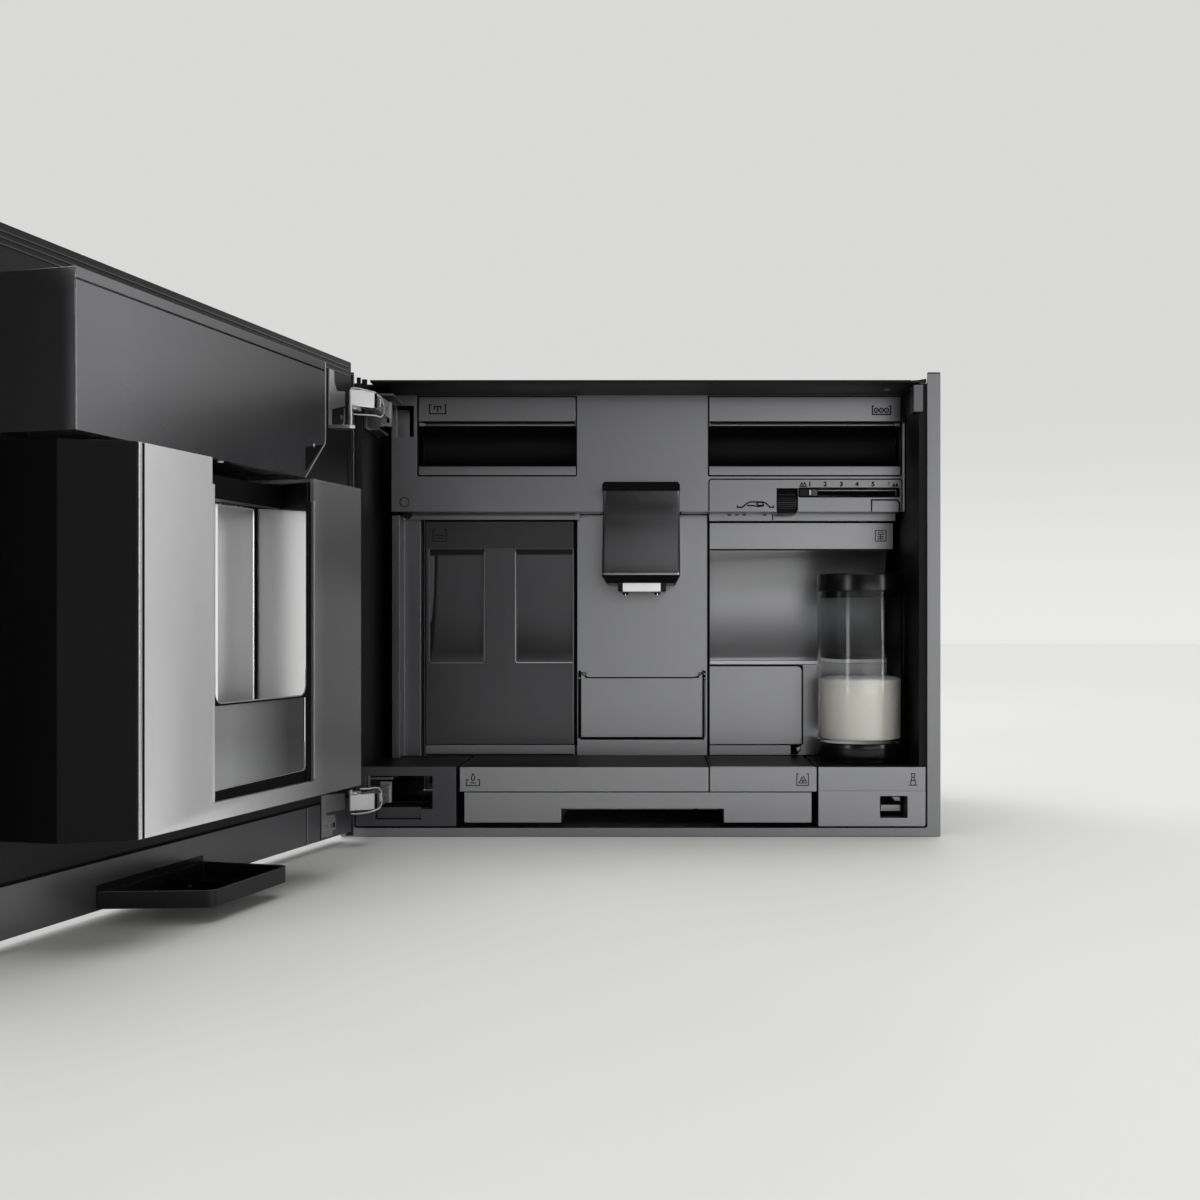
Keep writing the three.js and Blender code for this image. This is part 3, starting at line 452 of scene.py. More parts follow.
def board(name):
    m = finish(name, (0.02, 0.10, 0.05), 0.4, blotch=0.1, blotch_scale=60, grain=900, grain_amt=0.05)
    nt = m.node_tree
    p = nt.nodes["Principled BSDF"]
    tc = next(n for n in nt.nodes if n.type == "TEX_COORD")
    br = nt.nodes.new("ShaderNodeTexBrick")
    br.inputs["Scale"].default_value = 160.0
    br.inputs["Color1"].default_value = (0.015, 0.09, 0.045, 1)
    br.inputs["Color2"].default_value = (0.02, 0.12, 0.06, 1)
    br.inputs["Mortar"].default_value = (0.05, 0.2, 0.1, 1)
    nt.links.new(tc.outputs["Object"], br.inputs["Vector"])
    nt.links.new(br.outputs["Color"], p.inputs["Base Color"])
    return m


M["board"] = board("circuit board")


# ------------------------------------------------------------------ CAD nodes that stay
def dress(node, mat, bevel=0.5, seg=2, angle=30.0, flat=False):
    o = nodes[node]
    me = o.data
    me.materials.clear()
    me.materials.append(mat)
    for a in ("custom_normal",):
        if a in me.attributes:
            me.attributes.remove(me.attributes[a])
    for poly in me.polygons:
        poly.use_smooth = not flat
    w = o.modifiers.new("join", "WELD")
    w.merge_threshold = 2e-6
    if bevel:
        b = o.modifiers.new("edges", "BEVEL")
        b.width = bevel * MM
        b.segments = seg
        b.limit_method = "ANGLE"
        b.angle_limit = math.radians(angle)
        b.use_clamp_overlap = True
    n = o.modifiers.new("normals", "WEIGHTED_NORMAL")
    n.weight = 50
    n.keep_sharp = False


DRESS = {
    "front_frame": ("frame", 0.5), "left_side_panel": ("shell", 0.5), "right_side_panel": ("shell", 0.5),
    "top_panel": ("shell", 0.5), "base_plate": ("zinc", 0.4), "rear_panel": ("zinc", 0.4), "mains_inlet": ("black", 0.4),
    "upper_fascia": ("fascia", 0.35), "column_cover": ("moulding", 0.45), "outlet_rail": ("zinc", 0.2),
    "tank_bay_post": ("mid", 0.5), "tank_socket": ("inner", 0.3), "brew_bay_cover": ("moulding", 0.5),
    "left_base_block": ("dark", 0.4), "right_base_block": ("moulding", 0.3), "latch_striker": ("mid", 0.4),
    "hinge_mount_top": ("plated_dark", 0.3), "hinge_mount_bottom": ("plated_dark", 0.3),
    "grinder_housing": ("inner", 0.5), "brew_unit": ("inner", 0.6), "thermoblock": ("cast", 0.8), "water_pump": ("inner", 0.5),
    "control_board": ("board", 0.2), "water_hose": ("hose", 0.0),
    "door_glass": ("glass_front", 0.8), "door_panel": ("black", 0.5), "door_lower_flange": ("flange", 0.5),
    "niche_trim": ("steel", 0.4), "niche_liner": ("liner", 0.3), "niche_ceiling": ("recess", 0.3),
    "niche_housing": ("panel", 0.5), "niche_side_wall": ("wall", 0.5), "display_housing": ("housing", 0.6),
    "drip_spout": ("spout", 0.5), "latch_hook": ("plated", 0.3), "hinge_plate_top": ("plated_grey", 0.1), "hinge_plate_bottom": ("plated_grey", 0.1),
    "drip_grid": ("steel", 0.3), "hinge_arm_top": ("plated", 0.5), "hinge_arm_bottom": ("plated", 0.5),
    "ground_coffee_drawer": ("fascia", 0.45), "bean_drawer": ("fascia", 0.45), "bean_drawer_lid": ("lid", 0.3),
    "grind_slider": ("black", 0.5), "portion_roller": ("gloss", 0.3), "column_flap": ("moulding", 0.5),
    "water_tank": ("tank", 0.7), "service_panel": ("moulding", 0.5), "drip_tray": ("moulding", 0.45), "drip_cover": ("black", 0.4),
    "grounds_container": ("moulding", 0.45), "lower_drawer": ("moulding", 0.45),
    "grinder_burr": ("steel", 0.3), "brew_piston": ("steel", 0.3),
}
def shade_along_door(mat, x0, x1, dim):
    """Painted shade along the door: the base colour fades from full at closed-door position x0 to dim times at x1."""
    nt = mat.node_tree
    tc, dot, run, mix = (nt.nodes.new(k) for k in ("ShaderNodeTexCoord", "ShaderNodeVectorMath", "ShaderNodeMapRange", "ShaderNodeMix"))
    dot.operation = "DOT_PRODUCT"
    dot.inputs[1].default_value = (-0.2504, -0.9681, 0.0)
    nt.links.new(tc.outputs["Object"], dot.inputs[0])
    base = 0.2992 * 0.2504 + 0.2086 * 0.9681      # the hinge axis along the same direction
    run.inputs["From Min"].default_value = base + (x0 + 299.2) * MM
    run.inputs["From Max"].default_value = base + (x1 + 299.2) * MM
    run.inputs["To Min"].default_value, run.inputs["To Max"].default_value = 0.0, 1.0
    nt.links.new(dot.outputs["Value"], run.inputs["Value"])
    mix.data_type = "RGBA"
    mix.blend_type = "MULTIPLY"
    mix.inputs[7].default_value = (dim, dim, dim, 1.0)
    nt.links.new(run.outputs["Result"], mix.inputs[0])
    p = nt.nodes["Principled BSDF"]
    nt.links.new(p.inputs["Base Color"].links[0].from_socket, mix.inputs[6])
    nt.links.new(mix.outputs[2], p.inputs["Base Color"])


# painted shade: the door's cover, its lower panel and the display housing grow darker towards the hinge
shade_along_door(M["panel"], 66.0, -90.0, 0.22)
shade_along_door(M["lowpanel"], 40.0, -40.0, 0.22)
shade_along_door(M["housing"], 130.0, -110.0, 0.30)
for node, (mat, bevel) in DRESS.items():
    dress(node, M[mat], bevel)

FASCIA = 72.0     # the fascia's front plane
T = 0.18          # how far a printed or inlaid line stands proud


def lines(name, polys, w, y, body, mat=None, door=False, thick=0.25, closed=False):
    """Printed lines: each polyline in (x, z) mm, drawn on the plane y, standing proud towards the front or, on the door, towards the inside."""
    y0, y1 = (y - thick, y) if not door else (y, y + thick)
    parts = [ribbon(q, w, y0, y1, closed) for q in polys]
    return build(name, parts, mat or M["print"], body, door=door)


def P(u, v, y=FASCIA):
    return px(u, v, y)


def poly(points, y=FASCIA):
    return [px(u, v, y) for u, v in points]


def ring(u, v, ru, rv=None, y=FASCIA, n=20):
    rv = rv or ru
    return [px(u + ru * math.cos(2 * math.pi * i / n), v + rv * math.sin(2 * math.pi * i / n), y) for i in range(n)]


# ------------------------------------------------------------------ the two drawers in the fascia
# painted shade: a thin black liner laid in a drawer's grip hollow, so the recess stays dark as if in shade
def grip_shade_lining(name, x0, x1, body):
    path = [(73.2, 417.3), (80, 416.05), (88, 413.9), (96, 411.7), (100.5, 405.5), (102.7, 399.5), (102.9, 392), (102.7, 384.3), (100.2, 380.2), (96, 376.75), (86, 376.1), (74, 375.55)]
    inner = []
    for i, (y, z) in enumerate(path):
        a = path[max(0, i - 1)]
        b = path[min(len(path) - 1, i + 1)]
        d = Vector((b[0] - a[0], b[1] - a[1])).normalized()
        inner.append((y + d.y * 0.7, z - d.x * 0.7) if False else (y - (-d.y) * 0.0 + d.y * 0.7, z - d.x * 0.7))
    outline = path + list(reversed(inner))
    return build(name, [prism(outline, x0, x1, "x")], M["recess"], body, angle=50)


def lip(name, x0, x1, body):
    """The slim bar under a drawer's band, rounded in front."""
    prof = [(74.8, 416.9)] + arc(73.3, 418.6, 1.35, 250, 100, 8) + [(74.8, 419.9)]
    bar = prism([(p[0], p[1]) for p in prof], x0, x1, "x")
    return build(name, [bar], M["fascia"], body, bevel=0.15, angle=50)


grip_shade_lining("ground_coffee_grip_shade_lining", -232.3, -69.4, "ground_coffee_drawer")
grip_shade_lining("bean_grip_shade_lining", 71.1, 269.9, "bean_drawer")
lip("ground_coffee_lip", P(425, 424)[0], P(573.6, 424)[0], "ground_coffee_drawer")
lip("bean_lip", P(711, 424)[0], P(893, 424)[0], "bean_drawer")
lines("ground_coffee_lip_lines", [poly([(421.5, 421.9), (575.3, 421.9)]), poly([(424.2, 423.0), (574.2, 423.0), (574.2, 426.4)])], 0.9, 72.0, "ground_coffee_drawer", M["groove"])
lines("bean_lip_lines", [poly([(710, 422.9), (900, 422.9)]), poly([(711, 424.2), (893.6, 424.2), (893.6, 427.7)])], 0.9, 72.0, "bean_drawer", M["groove"])

# symbols on the drawers: an open container with a scoop, and one with three beans
lines("ground_coffee_symbol", [
    poly([(431.5, 405.0), (429.6, 405.0), (429.6, 413.7), (445.6, 413.7), (445.6, 405.0), (443.7, 405.0)]),
    poly([(434.3, 409.9), (434.3, 406.6), (440.9, 406.6), (440.9, 409.9)]),
    poly([(437.6, 406.6), (437.6, 411.6)])], 1.3, FASCIA, "ground_coffee_drawer")
beans = [poly([(874.0, 406.0), (872.4, 406.0), (872.4, 414.5), (890.6, 414.5), (890.6, 406.0), (889.0, 406.0)])]
build("bean_symbol", [ribbon(beans[0], 1.35, FASCIA - 0.25, FASCIA)]
      + [ribbon(ring(876.2 + 5.2 * i, 410.4, 2.05, 2.25), 1.15, FASCIA - 0.25, FASCIA, True) for i in range(3)]
      + [ribbon(poly([(875.3 + 5.2 * i, 409.0), (876.9 + 5.2 * i, 410.4), (875.5 + 5.2 * i, 411.8)]), 0.6, FASCIA - 0.25, FASCIA) for i in range(3)],
      M["print"], "bean_drawer")

# ------------------------------------------------------------------ control strip
x0, ztop = P(708.9, 479.2)
x1 = P(902.0, 479.2)[0]
strip = [(x0, 328.3), (x0, ztop - 3)] + [(c[0], c[1]) for c in arc(x0 + 3, ztop - 3, 3, 180, 90, 5)][1:] + \
        [(c[0], c[1]) for c in arc(x1 - 3, ztop - 3, 3, 90, 0, 5)] + [(x1, 328.3)]
lines("control_strip_outline", [strip], 1.35, FASCIA, "chassis", M["groove"])
notch = poly([(871.6, 511.8), (871.6, 499.9), (896.5, 499.9), (899.6, 503.0), (899.6, 511.8)])
lines("finger_notch_outline", [notch], 1.5, FASCIA, "chassis", M["groove"])
# grind setting: a bed behind the slot, the printed rim round it, and the slider's white mark
bx0, bz0 = P(799.6, 496.3)
bx1, bz1 = P(898.6, 488.7)
lines("grind_track_rim", [rounded(bx0 - 0.6, bx1 + 0.6, bz0 - 0.6, bz1 + 0.6, 1.2)], 1.4, FASCIA, "chassis", M["groove"], closed=True)
bed = build("grind_track_bed", [block(bx0 + 1, bx1 - 0.4, 80.7, 82.2, 343.9, 345.3), block(bx0 + 1, bx1 - 0.4, 80.7, 82.2, 350.3, 351.7),
                                block(bx1 - 1.6, bx1 - 0.4, 80.7, 82.2, 345.3, 350.3)], M["ledge"], "chassis", bevel=0.2)
lines("grind_track_groove", [[(bx0 + 21.5, 348.0), (bx1 - 3, 348.0)]], 3.4, 84.0, "chassis", M["groove"], thick=0.4)
mx, mz = P(810.3, 492.4)
build("slider_mark", [prism(rounded(mx - 0.8, mx + 0.8, 345.2, 350.6, 0.5), 72.18, 72.42, "y")], M["mark"], "grind_slider")
build("slider_step", [prism(rounded(mx + 2.2, mx + 7.2, 344.6, 351.1, 0.5), 72.15, 72.42, "y")], M["dark"], "grind_slider")


def numeral(text, u, v, size, body="chassis", y=FASCIA, bold=0.34):
    cu = bpy.data.curves.new("number_" + text, "FONT")
    cu.body = text
    cu.size = size * MM
    cu.align_x = "CENTER"
    cu.align_y = "CENTER"
    cu.extrude = 0.12 * MM
    cu.offset = (0.15 if text == "6" else bold) * MM
    x, z = P(u, v, y)
    ob = bpy.data.objects.new("number_" + text, cu)
    ob.location = at((x, y - 0.12, z))
    ob.rotation_euler = (math.radians(90), 0, 0)
    bpy.context.scene.collection.objects.link(ob)
    cu.materials.append(M["print"])
    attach(ob, body)
    return ob


for text, u in zip("123456", (809.8, 825.2, 841.4, 857.0, 873.0, 889.0)):
    numeral(text, u, 484.3, 6.5)


def heap(u, v, w, h, y=FASCIA):
    """Two small overlapping peaks."""
    return [poly([(u - w, v + h), (u - w * 0.45, v - h), (u + w * 0.1, v + h)], y), poly([(u - w * 0.15, v + h), (u + w * 0.45, v - h), (u + w, v + h)], y)]


build("fine_grind_symbol", [ribbon(q, 1.1, FASCIA - 0.25, FASCIA, True) for q in heap(803.2, 484.5, 3.3, 1.9)], M["print"], "chassis")
build("coarse_grind_symbol", [prism(q, FASCIA - 0.25, FASCIA, "y") for q in heap(895.3, 484.6, 3.3, 2.0)], M["print"], "chassis")
lines("scoop_symbol", [
    poly([(737.4, 505.3), (737.4, 507.3), (742.2, 507.3), (747.2, 503.2), (750.2, 502.0), (763.0, 502.0), (766.2, 503.4), (770.0, 507.3), (773.4, 507.3), (773.4, 505.5)]),
    poly([(747.0, 505.4), (752.8, 505.6), (758.6, 506.6), (764.0, 505.6)]),
    ring(760.2, 503.9, 3.4, 1.6)], 1.5, FASCIA, "chassis")
# ledge under the fascia on the right: its seam and three moulded dashes
lx, _ = px(772.6, 515, 98)
lines("ledge_seam", [[(lx, 327.6), (lx, 321.0)]], 1.2, 98.0, "chassis", M["groove"], thick=0.2)
lines("ledge_dashes", [[px(u0, 515.0, 98), px(u1, 515.0, 98)] for u0, u1 in ((727.5, 731.0), (735.2, 738.2), (742.5, 746.0), (762.5, 766.5))], 1.4, 98.0, "chassis", M["groove"], thick=0.3)

# fascia: painted highlight along the right-hand edge, hinge pocket's back, wedge by the lower left corner
build("fascia_edge_highlight", [block(272.6, 274.5, 71.7, 72.0, 328.4, px(903, 424, 72)[1])], M["edge"], "chassis", bevel=0.1)
build("hinge_pocket_back", [prism(rounded(-267.2, -249.5, 411.3, 440.8, 0.8), 112, 114, "y")], M["moulding"], "chassis", bevel=0.4)
wx = [px(u, v, 97) for u, v in ((402.8, 512.6), (412.6, 512.6), (412.6, 516.5), (408.4, 519.8), (402.8, 517.0))]
build("post_wedge", [prism(wx, 94.2, 97.7, "y")], M["black"], "chassis", bevel=0.3)

# screw under the top panel, with a round recess in its head
sx, sy = 250.2, 36.8
build("top_screw", [lathe([(0, 449.4), (0.9, 449.4), (1.2, 448.6), (2.9, 448.5), (3.5, 449.0), (3.5, 449.68), (0, 449.68)], (sx, sy), 32)], M["plated_dark"], "chassis")
# cap on the frame's right-hand member and the bracket beside it
build("frame_cap_right", [block(284.2, 296.8, 0.1, 2.3, 458.4, 459.8)], M["black"], "chassis", bevel=0.3)
build("frame_cap_left", [block(-296.8, -284.2, 0.1, 2.3, 458.4, 459.8)], M["black"], "chassis", bevel=0.3)
build("top_bracket", [prism([(268.3, 449.9), (283.6, 449.9), (283.6, 454.0), (275.0, 452.6), (268.3, 452.2)], 2.8, 22, "y")], M["black"], "chassis", bevel=0.3)
build("striker_face", [prism(rounded(270.9, 280.0, 421.2, 447.6, [1.2, 1.2, 0.4, 0.4]), 1.6, 2.9, "y")], M["mid"], "chassis", bevel=0.3)
build("striker_cover", [prism([(271.6, 449.4), (271.6, 430.0), (272.6, 419.8), (275.2, 421.6), (275.2, 449.4)], 71.1, 71.9, "y"),
                        prism([(275.0, 449.0), (275.0, 424.0), (277.6, 426.6), (277.6, 449.0)], 40.0, 71.0, "y")], M["black"], "chassis", bevel=0.2)

build("drawer_gap_left", [ribbon(rounded(-233.7, -68.0, 365.1, 448.3, [1.6, 1.6, 0.4, 0.4]), 1.2, 71.8, 72.05, True)], M["groove"], "chassis")
build("drawer_gap_right", [ribbon(rounded(69.7, 271.3, 365.1, 448.3, [1.6, 1.6, 0.4, 0.4]), 1.2, 71.8, 72.05, True)], M["groove"], "chassis")
build("fascia_opening_light", [block(-235.9, -235.0, 71.82, 72.0, 366.6, 448.0)], M["faint"], "chassis")
build("rail_shade_left", [block(-254.0, -70.6, 97.7, 98.0, 325.7, 330.9)], M["dark"], "chassis")
build("rail_gap_left", [block(-233.6, -69.4, 112.4, 115.0, 320.75, 328.8)], M["groove"], "chassis")
build("rail_bridge_right", [block(139.9, 163.6, 98.2, 100.4, 320.4, 331.0)], M["ledge"], "chassis", bevel=0.3)
build("rail_gap_right", [block(71.6, 269.4, 112.3, 112.9, 319.0, 320.5)], M["groove"], "chassis")
build("column_groove_right", [block(69.85, 72.7, 112.55, 113.0, 70.2, 327.4)], M["groove"], "chassis")
build("column_groove_left", [block(-72.9, -69.5, 112.6, 113.0, 81.0, 320.6), block(-72.2, -70.0, 112.6, 113.4, 69.6, 81.0)], M["groove"], "chassis")
build("rear_lining", [block(-268, 268, 347.6, 348.4, 12, 446)], M["black"], "chassis", bevel=0.2)
# fixing screw's printed rim
build("fascia_screw_rim", [ribbon(rounded(-252.3, -242.9, 333.2, 342.6, 4.6, 8), 0.8, 71.75, 72.0, True)], M["groove"], "chassis")
# frame of the roller's slot
rx0, rz1 = P(777.2, 488.8)
rx1 = P(797.4, 488.8)[0]
build("roller_frame", [ribbon([(rx0, 329.2), (rx0, rz1), (rx1, rz1), (rx1, 329.2)], 1.3, 71.7, 72.0), block(rx0, rx1, 74.5, 75.0, 344.6, 351.8)], M["groove"], "chassis")
ridges = []
for i in range(36):
    a0, a1, a2 = (2 * math.pi * (i + k) / 36 for k in (0.0, 0.34, 0.62))
    ridges += [(12.15 * math.cos(a0), 12.15 * math.sin(a0)), (12.15 * math.cos(a1), 12.15 * math.sin(a1)), (10.9 * math.cos(a2), 10.9 * math.sin(a2)), (10.9 * math.cos(a2 + 0.03), 10.9 * math.sin(a2 + 0.03))]
roller = build("ribbed_roller", [prism([(82 + u, 337.5 + v) for u, v in ridges], 142.4, 161.1, "x"), lathe([(0, 141.85), (11.4, 141.85), (12.0, 142.2), (12.0, 142.6), (0, 142.6)], (82, 337.5), 36, "x"),
                                 lathe([(0, 160.9), (12.0, 160.9), (12.0, 161.3), (11.4, 161.65), (2.6, 161.65), (2.6, 189.8), (0, 189.8)], (82, 337.5), 36, "x")], M["gloss"], "portion_roller", bevel=0.15)
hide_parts("portion_roller")

# ------------------------------------------------------------------ coffee outlet
def outlet_front(z):
    pts = [(356.6, 64.6), (355.6, 62.4), (354.0, 61.5), (345.0, 60.4), (330.0, 56.6), (310.0, 49.8), (290.0, 41.8), (270.0, 33.4), (263.0, 30.6), (260.0, 30.1), (256.0, 30.4), (251.8, 31.4)]
    for (za, ya), (zb, yb) in zip(pts, pts[1:]):
        if za >= z >= zb:
            t = (za - z) / (za - zb)
            return ya + (yb - ya) * t
    return pts[-1][1]


def outlet_section(z, inset=0.0, corner=3.2):
    f = outlet_front(z)
    h = 39.8 - inset
    c = corner
    front = [(-h + c - c * math.cos(math.radians(a)), f + c - c * math.sin(math.radians(a))) for a in range(0, 91, 15)]
    right = [(-x, y) for x, y in reversed(front)]
    return [(x, y, z) for x, y in front + right] + [(h, 111.8, z), (-h, 111.8, z)]


zs = [251.8, 253.5, 256, 258.5, 260.2, 262.3, 266, 272, 280, 290, 300, 310, 320, 328, 335, 342, 348.4, 351, 354, 355.4, 356.4]
secs = []
for z in zs:
    low = max(0.0, (260.0 - z))
    inset = min(4.4, low * 0.55) if z < 260 else 0.0
    top = max(0.0, z - 354.0)
    secs.append(outlet_section(z, inset + top * 0.45, 3.2 + min(2.0, low * 0.2)))
vs, fs = loft(secs)
npts = len(secs[0])
tone = []
for k, f in enumerate(fs):
    zc = sum(vs[i][2] for i in f) / len(f)
    row = k // npts
    tone.append(1 if (262.3 < zc < 348.4 and k < (len(zs) - 1) * npts) else 0)
shell = build("outlet_shell", [(vs, fs, tone)], None, "outlet", mats=[M["black"], M["outlet"]], angle=40)
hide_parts("outlet_housing")
# painted highlight along the bevel between the outlet's face and its chin
build("outlet_bevel_highlight", [loft([[(x, y - 0.35, z) for x, y, z in outlet_section(z, 0.2)[1:13]] + [(x, y + 0.4, z) for x, y, z in reversed(outlet_section(z, 0.2)[1:13])] for z in (260.3, 261.2, 262.2)])],
      M["edge"], "outlet", angle=50)
build("outlet_neck", [block(-11.4, 11.4, 111.9, 122.4, 306.6, 326.4), block(-15.8, 15.8, 122.3, 126.4, 304.2, 326.6)], M["black"], "outlet", bevel=0.4)
# nozzle: a black holder, the steel plate in front, and the two tips
build("nozzle_holder", [prism(rounded(-23.6, 25.4, 243.6, 256.0, [1.2, 1.2, 0.6, 0.6]), 34.6, 74, "y"), block(-22.2, -21.2, 34.2, 36, 244.2, 251.4), block(23.2, 24.2, 34.2, 36, 244.2, 251.4)], M["black"], "outlet", bevel=0.5)
plate_z = [(243.0, 31.8), (243.6, 31.0), (248.0, 30.7), (253.2, 30.8), (254.1, 31.4)]
build("nozzle_plate", [prism([(y, z) for z, y in plate_z] + [(35.0, 254.1), (35.0, 243.0)], -18.6, 19.8, "x")], M["nozzle"], "outlet", bevel=0.25)
noz = build("nozzle_tips", [lathe([(0, 239.25), (1.0, 239.25), (1.6, 239.9), (2.6, 240.6), (3.4, 242.4), (4.6, 243.0), (4.6, 244.6), (0, 244.6)], (cx, 38.6), 32) for cx in (-16, 16.4)], M["black"], "outlet")
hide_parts("outlet_nozzle")
build("nozzle_drops", [lathe([(0, 239.22), (0.7, 239.3), (1.0, 239.9), (0.7, 241.6), (0, 241.8)], (cx, 35.6), 20) for cx in (-16, 16.4)], M["bright"], "outlet")

# ------------------------------------------------------------------ centre column
def C(u, v):
    return px(u, v, 113.0)


uline = [C(579.6, 670.4), C(581.0, 672.6), C(583.8, 675.4), C(587.6, 677.3), C(591.0, 677.7), C(692.5, 677.7), C(697.0, 676.9), C(700.6, 674.6), C(702.6, 671.6), C(703.4, 670.2)]
lines("flap_top_line", [uline], 1.35, 113.0, "chassis", M["groove"], thick=0.25)
lines("flap_side_lines", [[C(702.9, 673.0), C(702.9, 737.6)], [C(580.2, 737.6), C(703.2, 737.6)]], 1.5, 113.0, "chassis", M["groove"], thick=0.22)
build("flap_side_shade", [block(C(578.0, 0)[0], C(581.3, 0)[0], 112.75, 113.0, C(0, 738.4)[1], C(0, 672.4)[1])], M["groove"], "chassis")
build("flap_side_light", [block(C(704.2, 0)[0], C(705.6, 0)[0], 112.8, 113.0, C(0, 737.0)[1], C(0, 680.0)[1])], M["dark"], "chassis")
build("flap_latches", [ribbon([C(579.5, 671.0), C(579.5, 679.5)], 2.4, 112.6, 113.0), ribbon([C(704.6, 670.8), C(704.6, 680.0)], 2.4, 112.6, 113.0)], M["groove"], "chassis")
build("flap_pins", [lathe([(0, 112.2), (0.55, 112.25), (0.8, 112.6), (0.8, 113.0), (0, 113.0)], C(u, v), 20, "y") for u, v in ((579.5, 678.0), (704.6, 674.0), (704.6, 678.2))], M["edge"], "chassis")

build("outlet_chin", [prism([(-39.5, 260.4), (39.5, 260.4), (39.5, 258.6), (33.2, 252.0), (-33.2, 252.0), (-39.5, 258.6)], 29.85, 30.15, "y")], M["groove"], "outlet")
build("outlet_brow", [prism([(-39.4, 345.6), (39.4, 345.6), (39.4, 351.6), (37.4, 354.6), (-37.4, 354.6), (-39.4, 351.6)], 29.9, 30.15, "y")], M["groove"], "outlet")

# ------------------------------------------------------------------ water tank
build("tank_band", [prism([(-232.1, 292.0), (-73.6, 292.0), (-73.6, 320.2), (-232.1, 320.2)], 112.7, 113.0, "y")], M["tankband"], "water_tank", bevel=0.12)
lines("tank_symbol", [
    poly([(433.2, 531.0), (435.0, 529.3), (433.2, 529.3), (433.2, 541.6), (446.2, 541.6), (446.2, 529.3), (444.4, 529.3), (444.4, 531.0)], 113),
    poly([(435.6, 535.6), (438.0, 534.4), (440.4, 536.0), (443.8, 534.6)], 113),
    poly([(435.6, 538.6), (438.0, 537.4), (440.4, 539.0), (443.8, 537.6)], 113)], 0.9, 112.7, "water_tank", M["print"])
# painted shadow: black strips hanging under the top of each grip hollow
build("tank_grip_top_shadows", [block(-227.9, -170.6, 113.7, 114.6, 285.2, 290.6), block(-135.4, -73.5, 113.7, 114.6, 285.4, 290.6)], M["black"], "water_tank", bevel=0.25)
# painted shade: a black band down the inner side of the left grip hollow, with a painted sheen strip beside it
build("tank_grip_side_shade", [loft([[(-227.9, 113.7, z), (-227.9 + w_, 113.7, z), (-227.9 + w_, 115.2, z), (-227.9, 115.2, z)] for z, w_ in ((284.6, 7.6), (250.0, 6.6), (215.0, 5.2), (190.0, 3.4), (172.0, 1.0))])], M["black"], "water_tank")
build("tank_grip_sheen", [loft([[(-227.7, 113.45, z), (-227.7 + w_, 113.45, z), (-227.7 + w_, 113.7, z), (-227.7, 113.7, z)] for z, w_ in ((284.0, 4.6), (262.0, 4.4), (240.0, 3.6), (222.0, 2.2), (212.0, 0.6))])], M["mid"], "water_tank")
build("tank_grip_rims", [ribbon([(-136.0, 288.0), (-136.0, 171.6)] + arc(-133.6, 171.6, 2.4, 180, 270, 5)[1:] + [(-73.6, 169.2)], 0.9, 112.85, 113.0)], M["edge"], "water_tank")
build("tank_grip_rims_faint", [ribbon([(-227.0, 168.9), (-170.6, 168.9)], 0.8, 112.85, 113.0), ribbon([(-169.6, 288.0), (-169.6, 171.0)], 0.6, 112.85, 113.0),
                               ribbon([(-232.0, 320.0), (-73.8, 320.0)], 0.7, 112.85, 113.0), ribbon([(-74.0, 319.6), (-74.0, 82.0)], 0.8, 112.85, 113.0)], M["faint"], "water_tank")
build("tank_foot_band", [block(-221.0, -76.6, 112.8, 113.0, 81.6, 88.4)], M["dark"], "water_tank")

# ------------------------------------------------------------------ brewing unit bay
lines("brew_symbol", [
    poly([(875.4, 530.4), (885.8, 530.4), (885.8, 541.2), (875.4, 541.2)], 113) + [px(875.4, 530.4, 113)],
    poly([(878.2, 532.6), (880.6, 531.9), (883.0, 532.6), (883.0, 534.4), (878.2, 534.4), (878.2, 532.6)], 113),
    poly([(877.6, 536.6), (883.6, 536.6)], 113), poly([(880.6, 534.6), (880.6, 540.6)], 113),
    poly([(878.0, 540.4), (879.2, 538.2), (882.0, 538.2), (883.2, 540.4)], 113)], 0.8, 113.0, "chassis", M["print"])
build("service_panel_notch", [prism([px(790.6, 745.0, 116.4), px(800.8, 745.0, 116.4), px(800.8, 750.0, 116.4), px(797.0, 754.6, 116.4), px(790.6, 754.6, 116.4)], 115.9, 116.4, "y")], M["groove"], "chassis")
build("service_panel_wedge", [prism([px(796.4, 747.6, 115.9), px(800.2, 746.4, 115.9), px(800.2, 749.2, 115.9), px(797.4, 751.4, 115.9)], 115.4, 115.9, "y")], M["edge"], "chassis", bevel=0.1)
lines("service_band_line", [[px(709.6, 744.9, 116.4), px(802.0, 744.9, 116.4)]], 0.9, 116.4, "chassis", M["groove"], thick=0.2)
build("service_panel_gap", [ribbon([(72.0, 165.9), (169.0, 165.9)] + arc(169.0, 162.6, 3.4, 90, 0, 5)[1:] + [(172.4, 81.2)], 1.35, 112.85, 113.05)], M["groove"], "chassis")
build("brew_ledge_light", [block(73.0, 263.2, 113.2, 113.6, 167.6, 170.8)], M["edge"], "chassis", bevel=0.1)
build("brew_band_shade", [block(73.0, 263.4, 113.0, 116.0, 289.6, 291.4)], M["black"], "chassis")

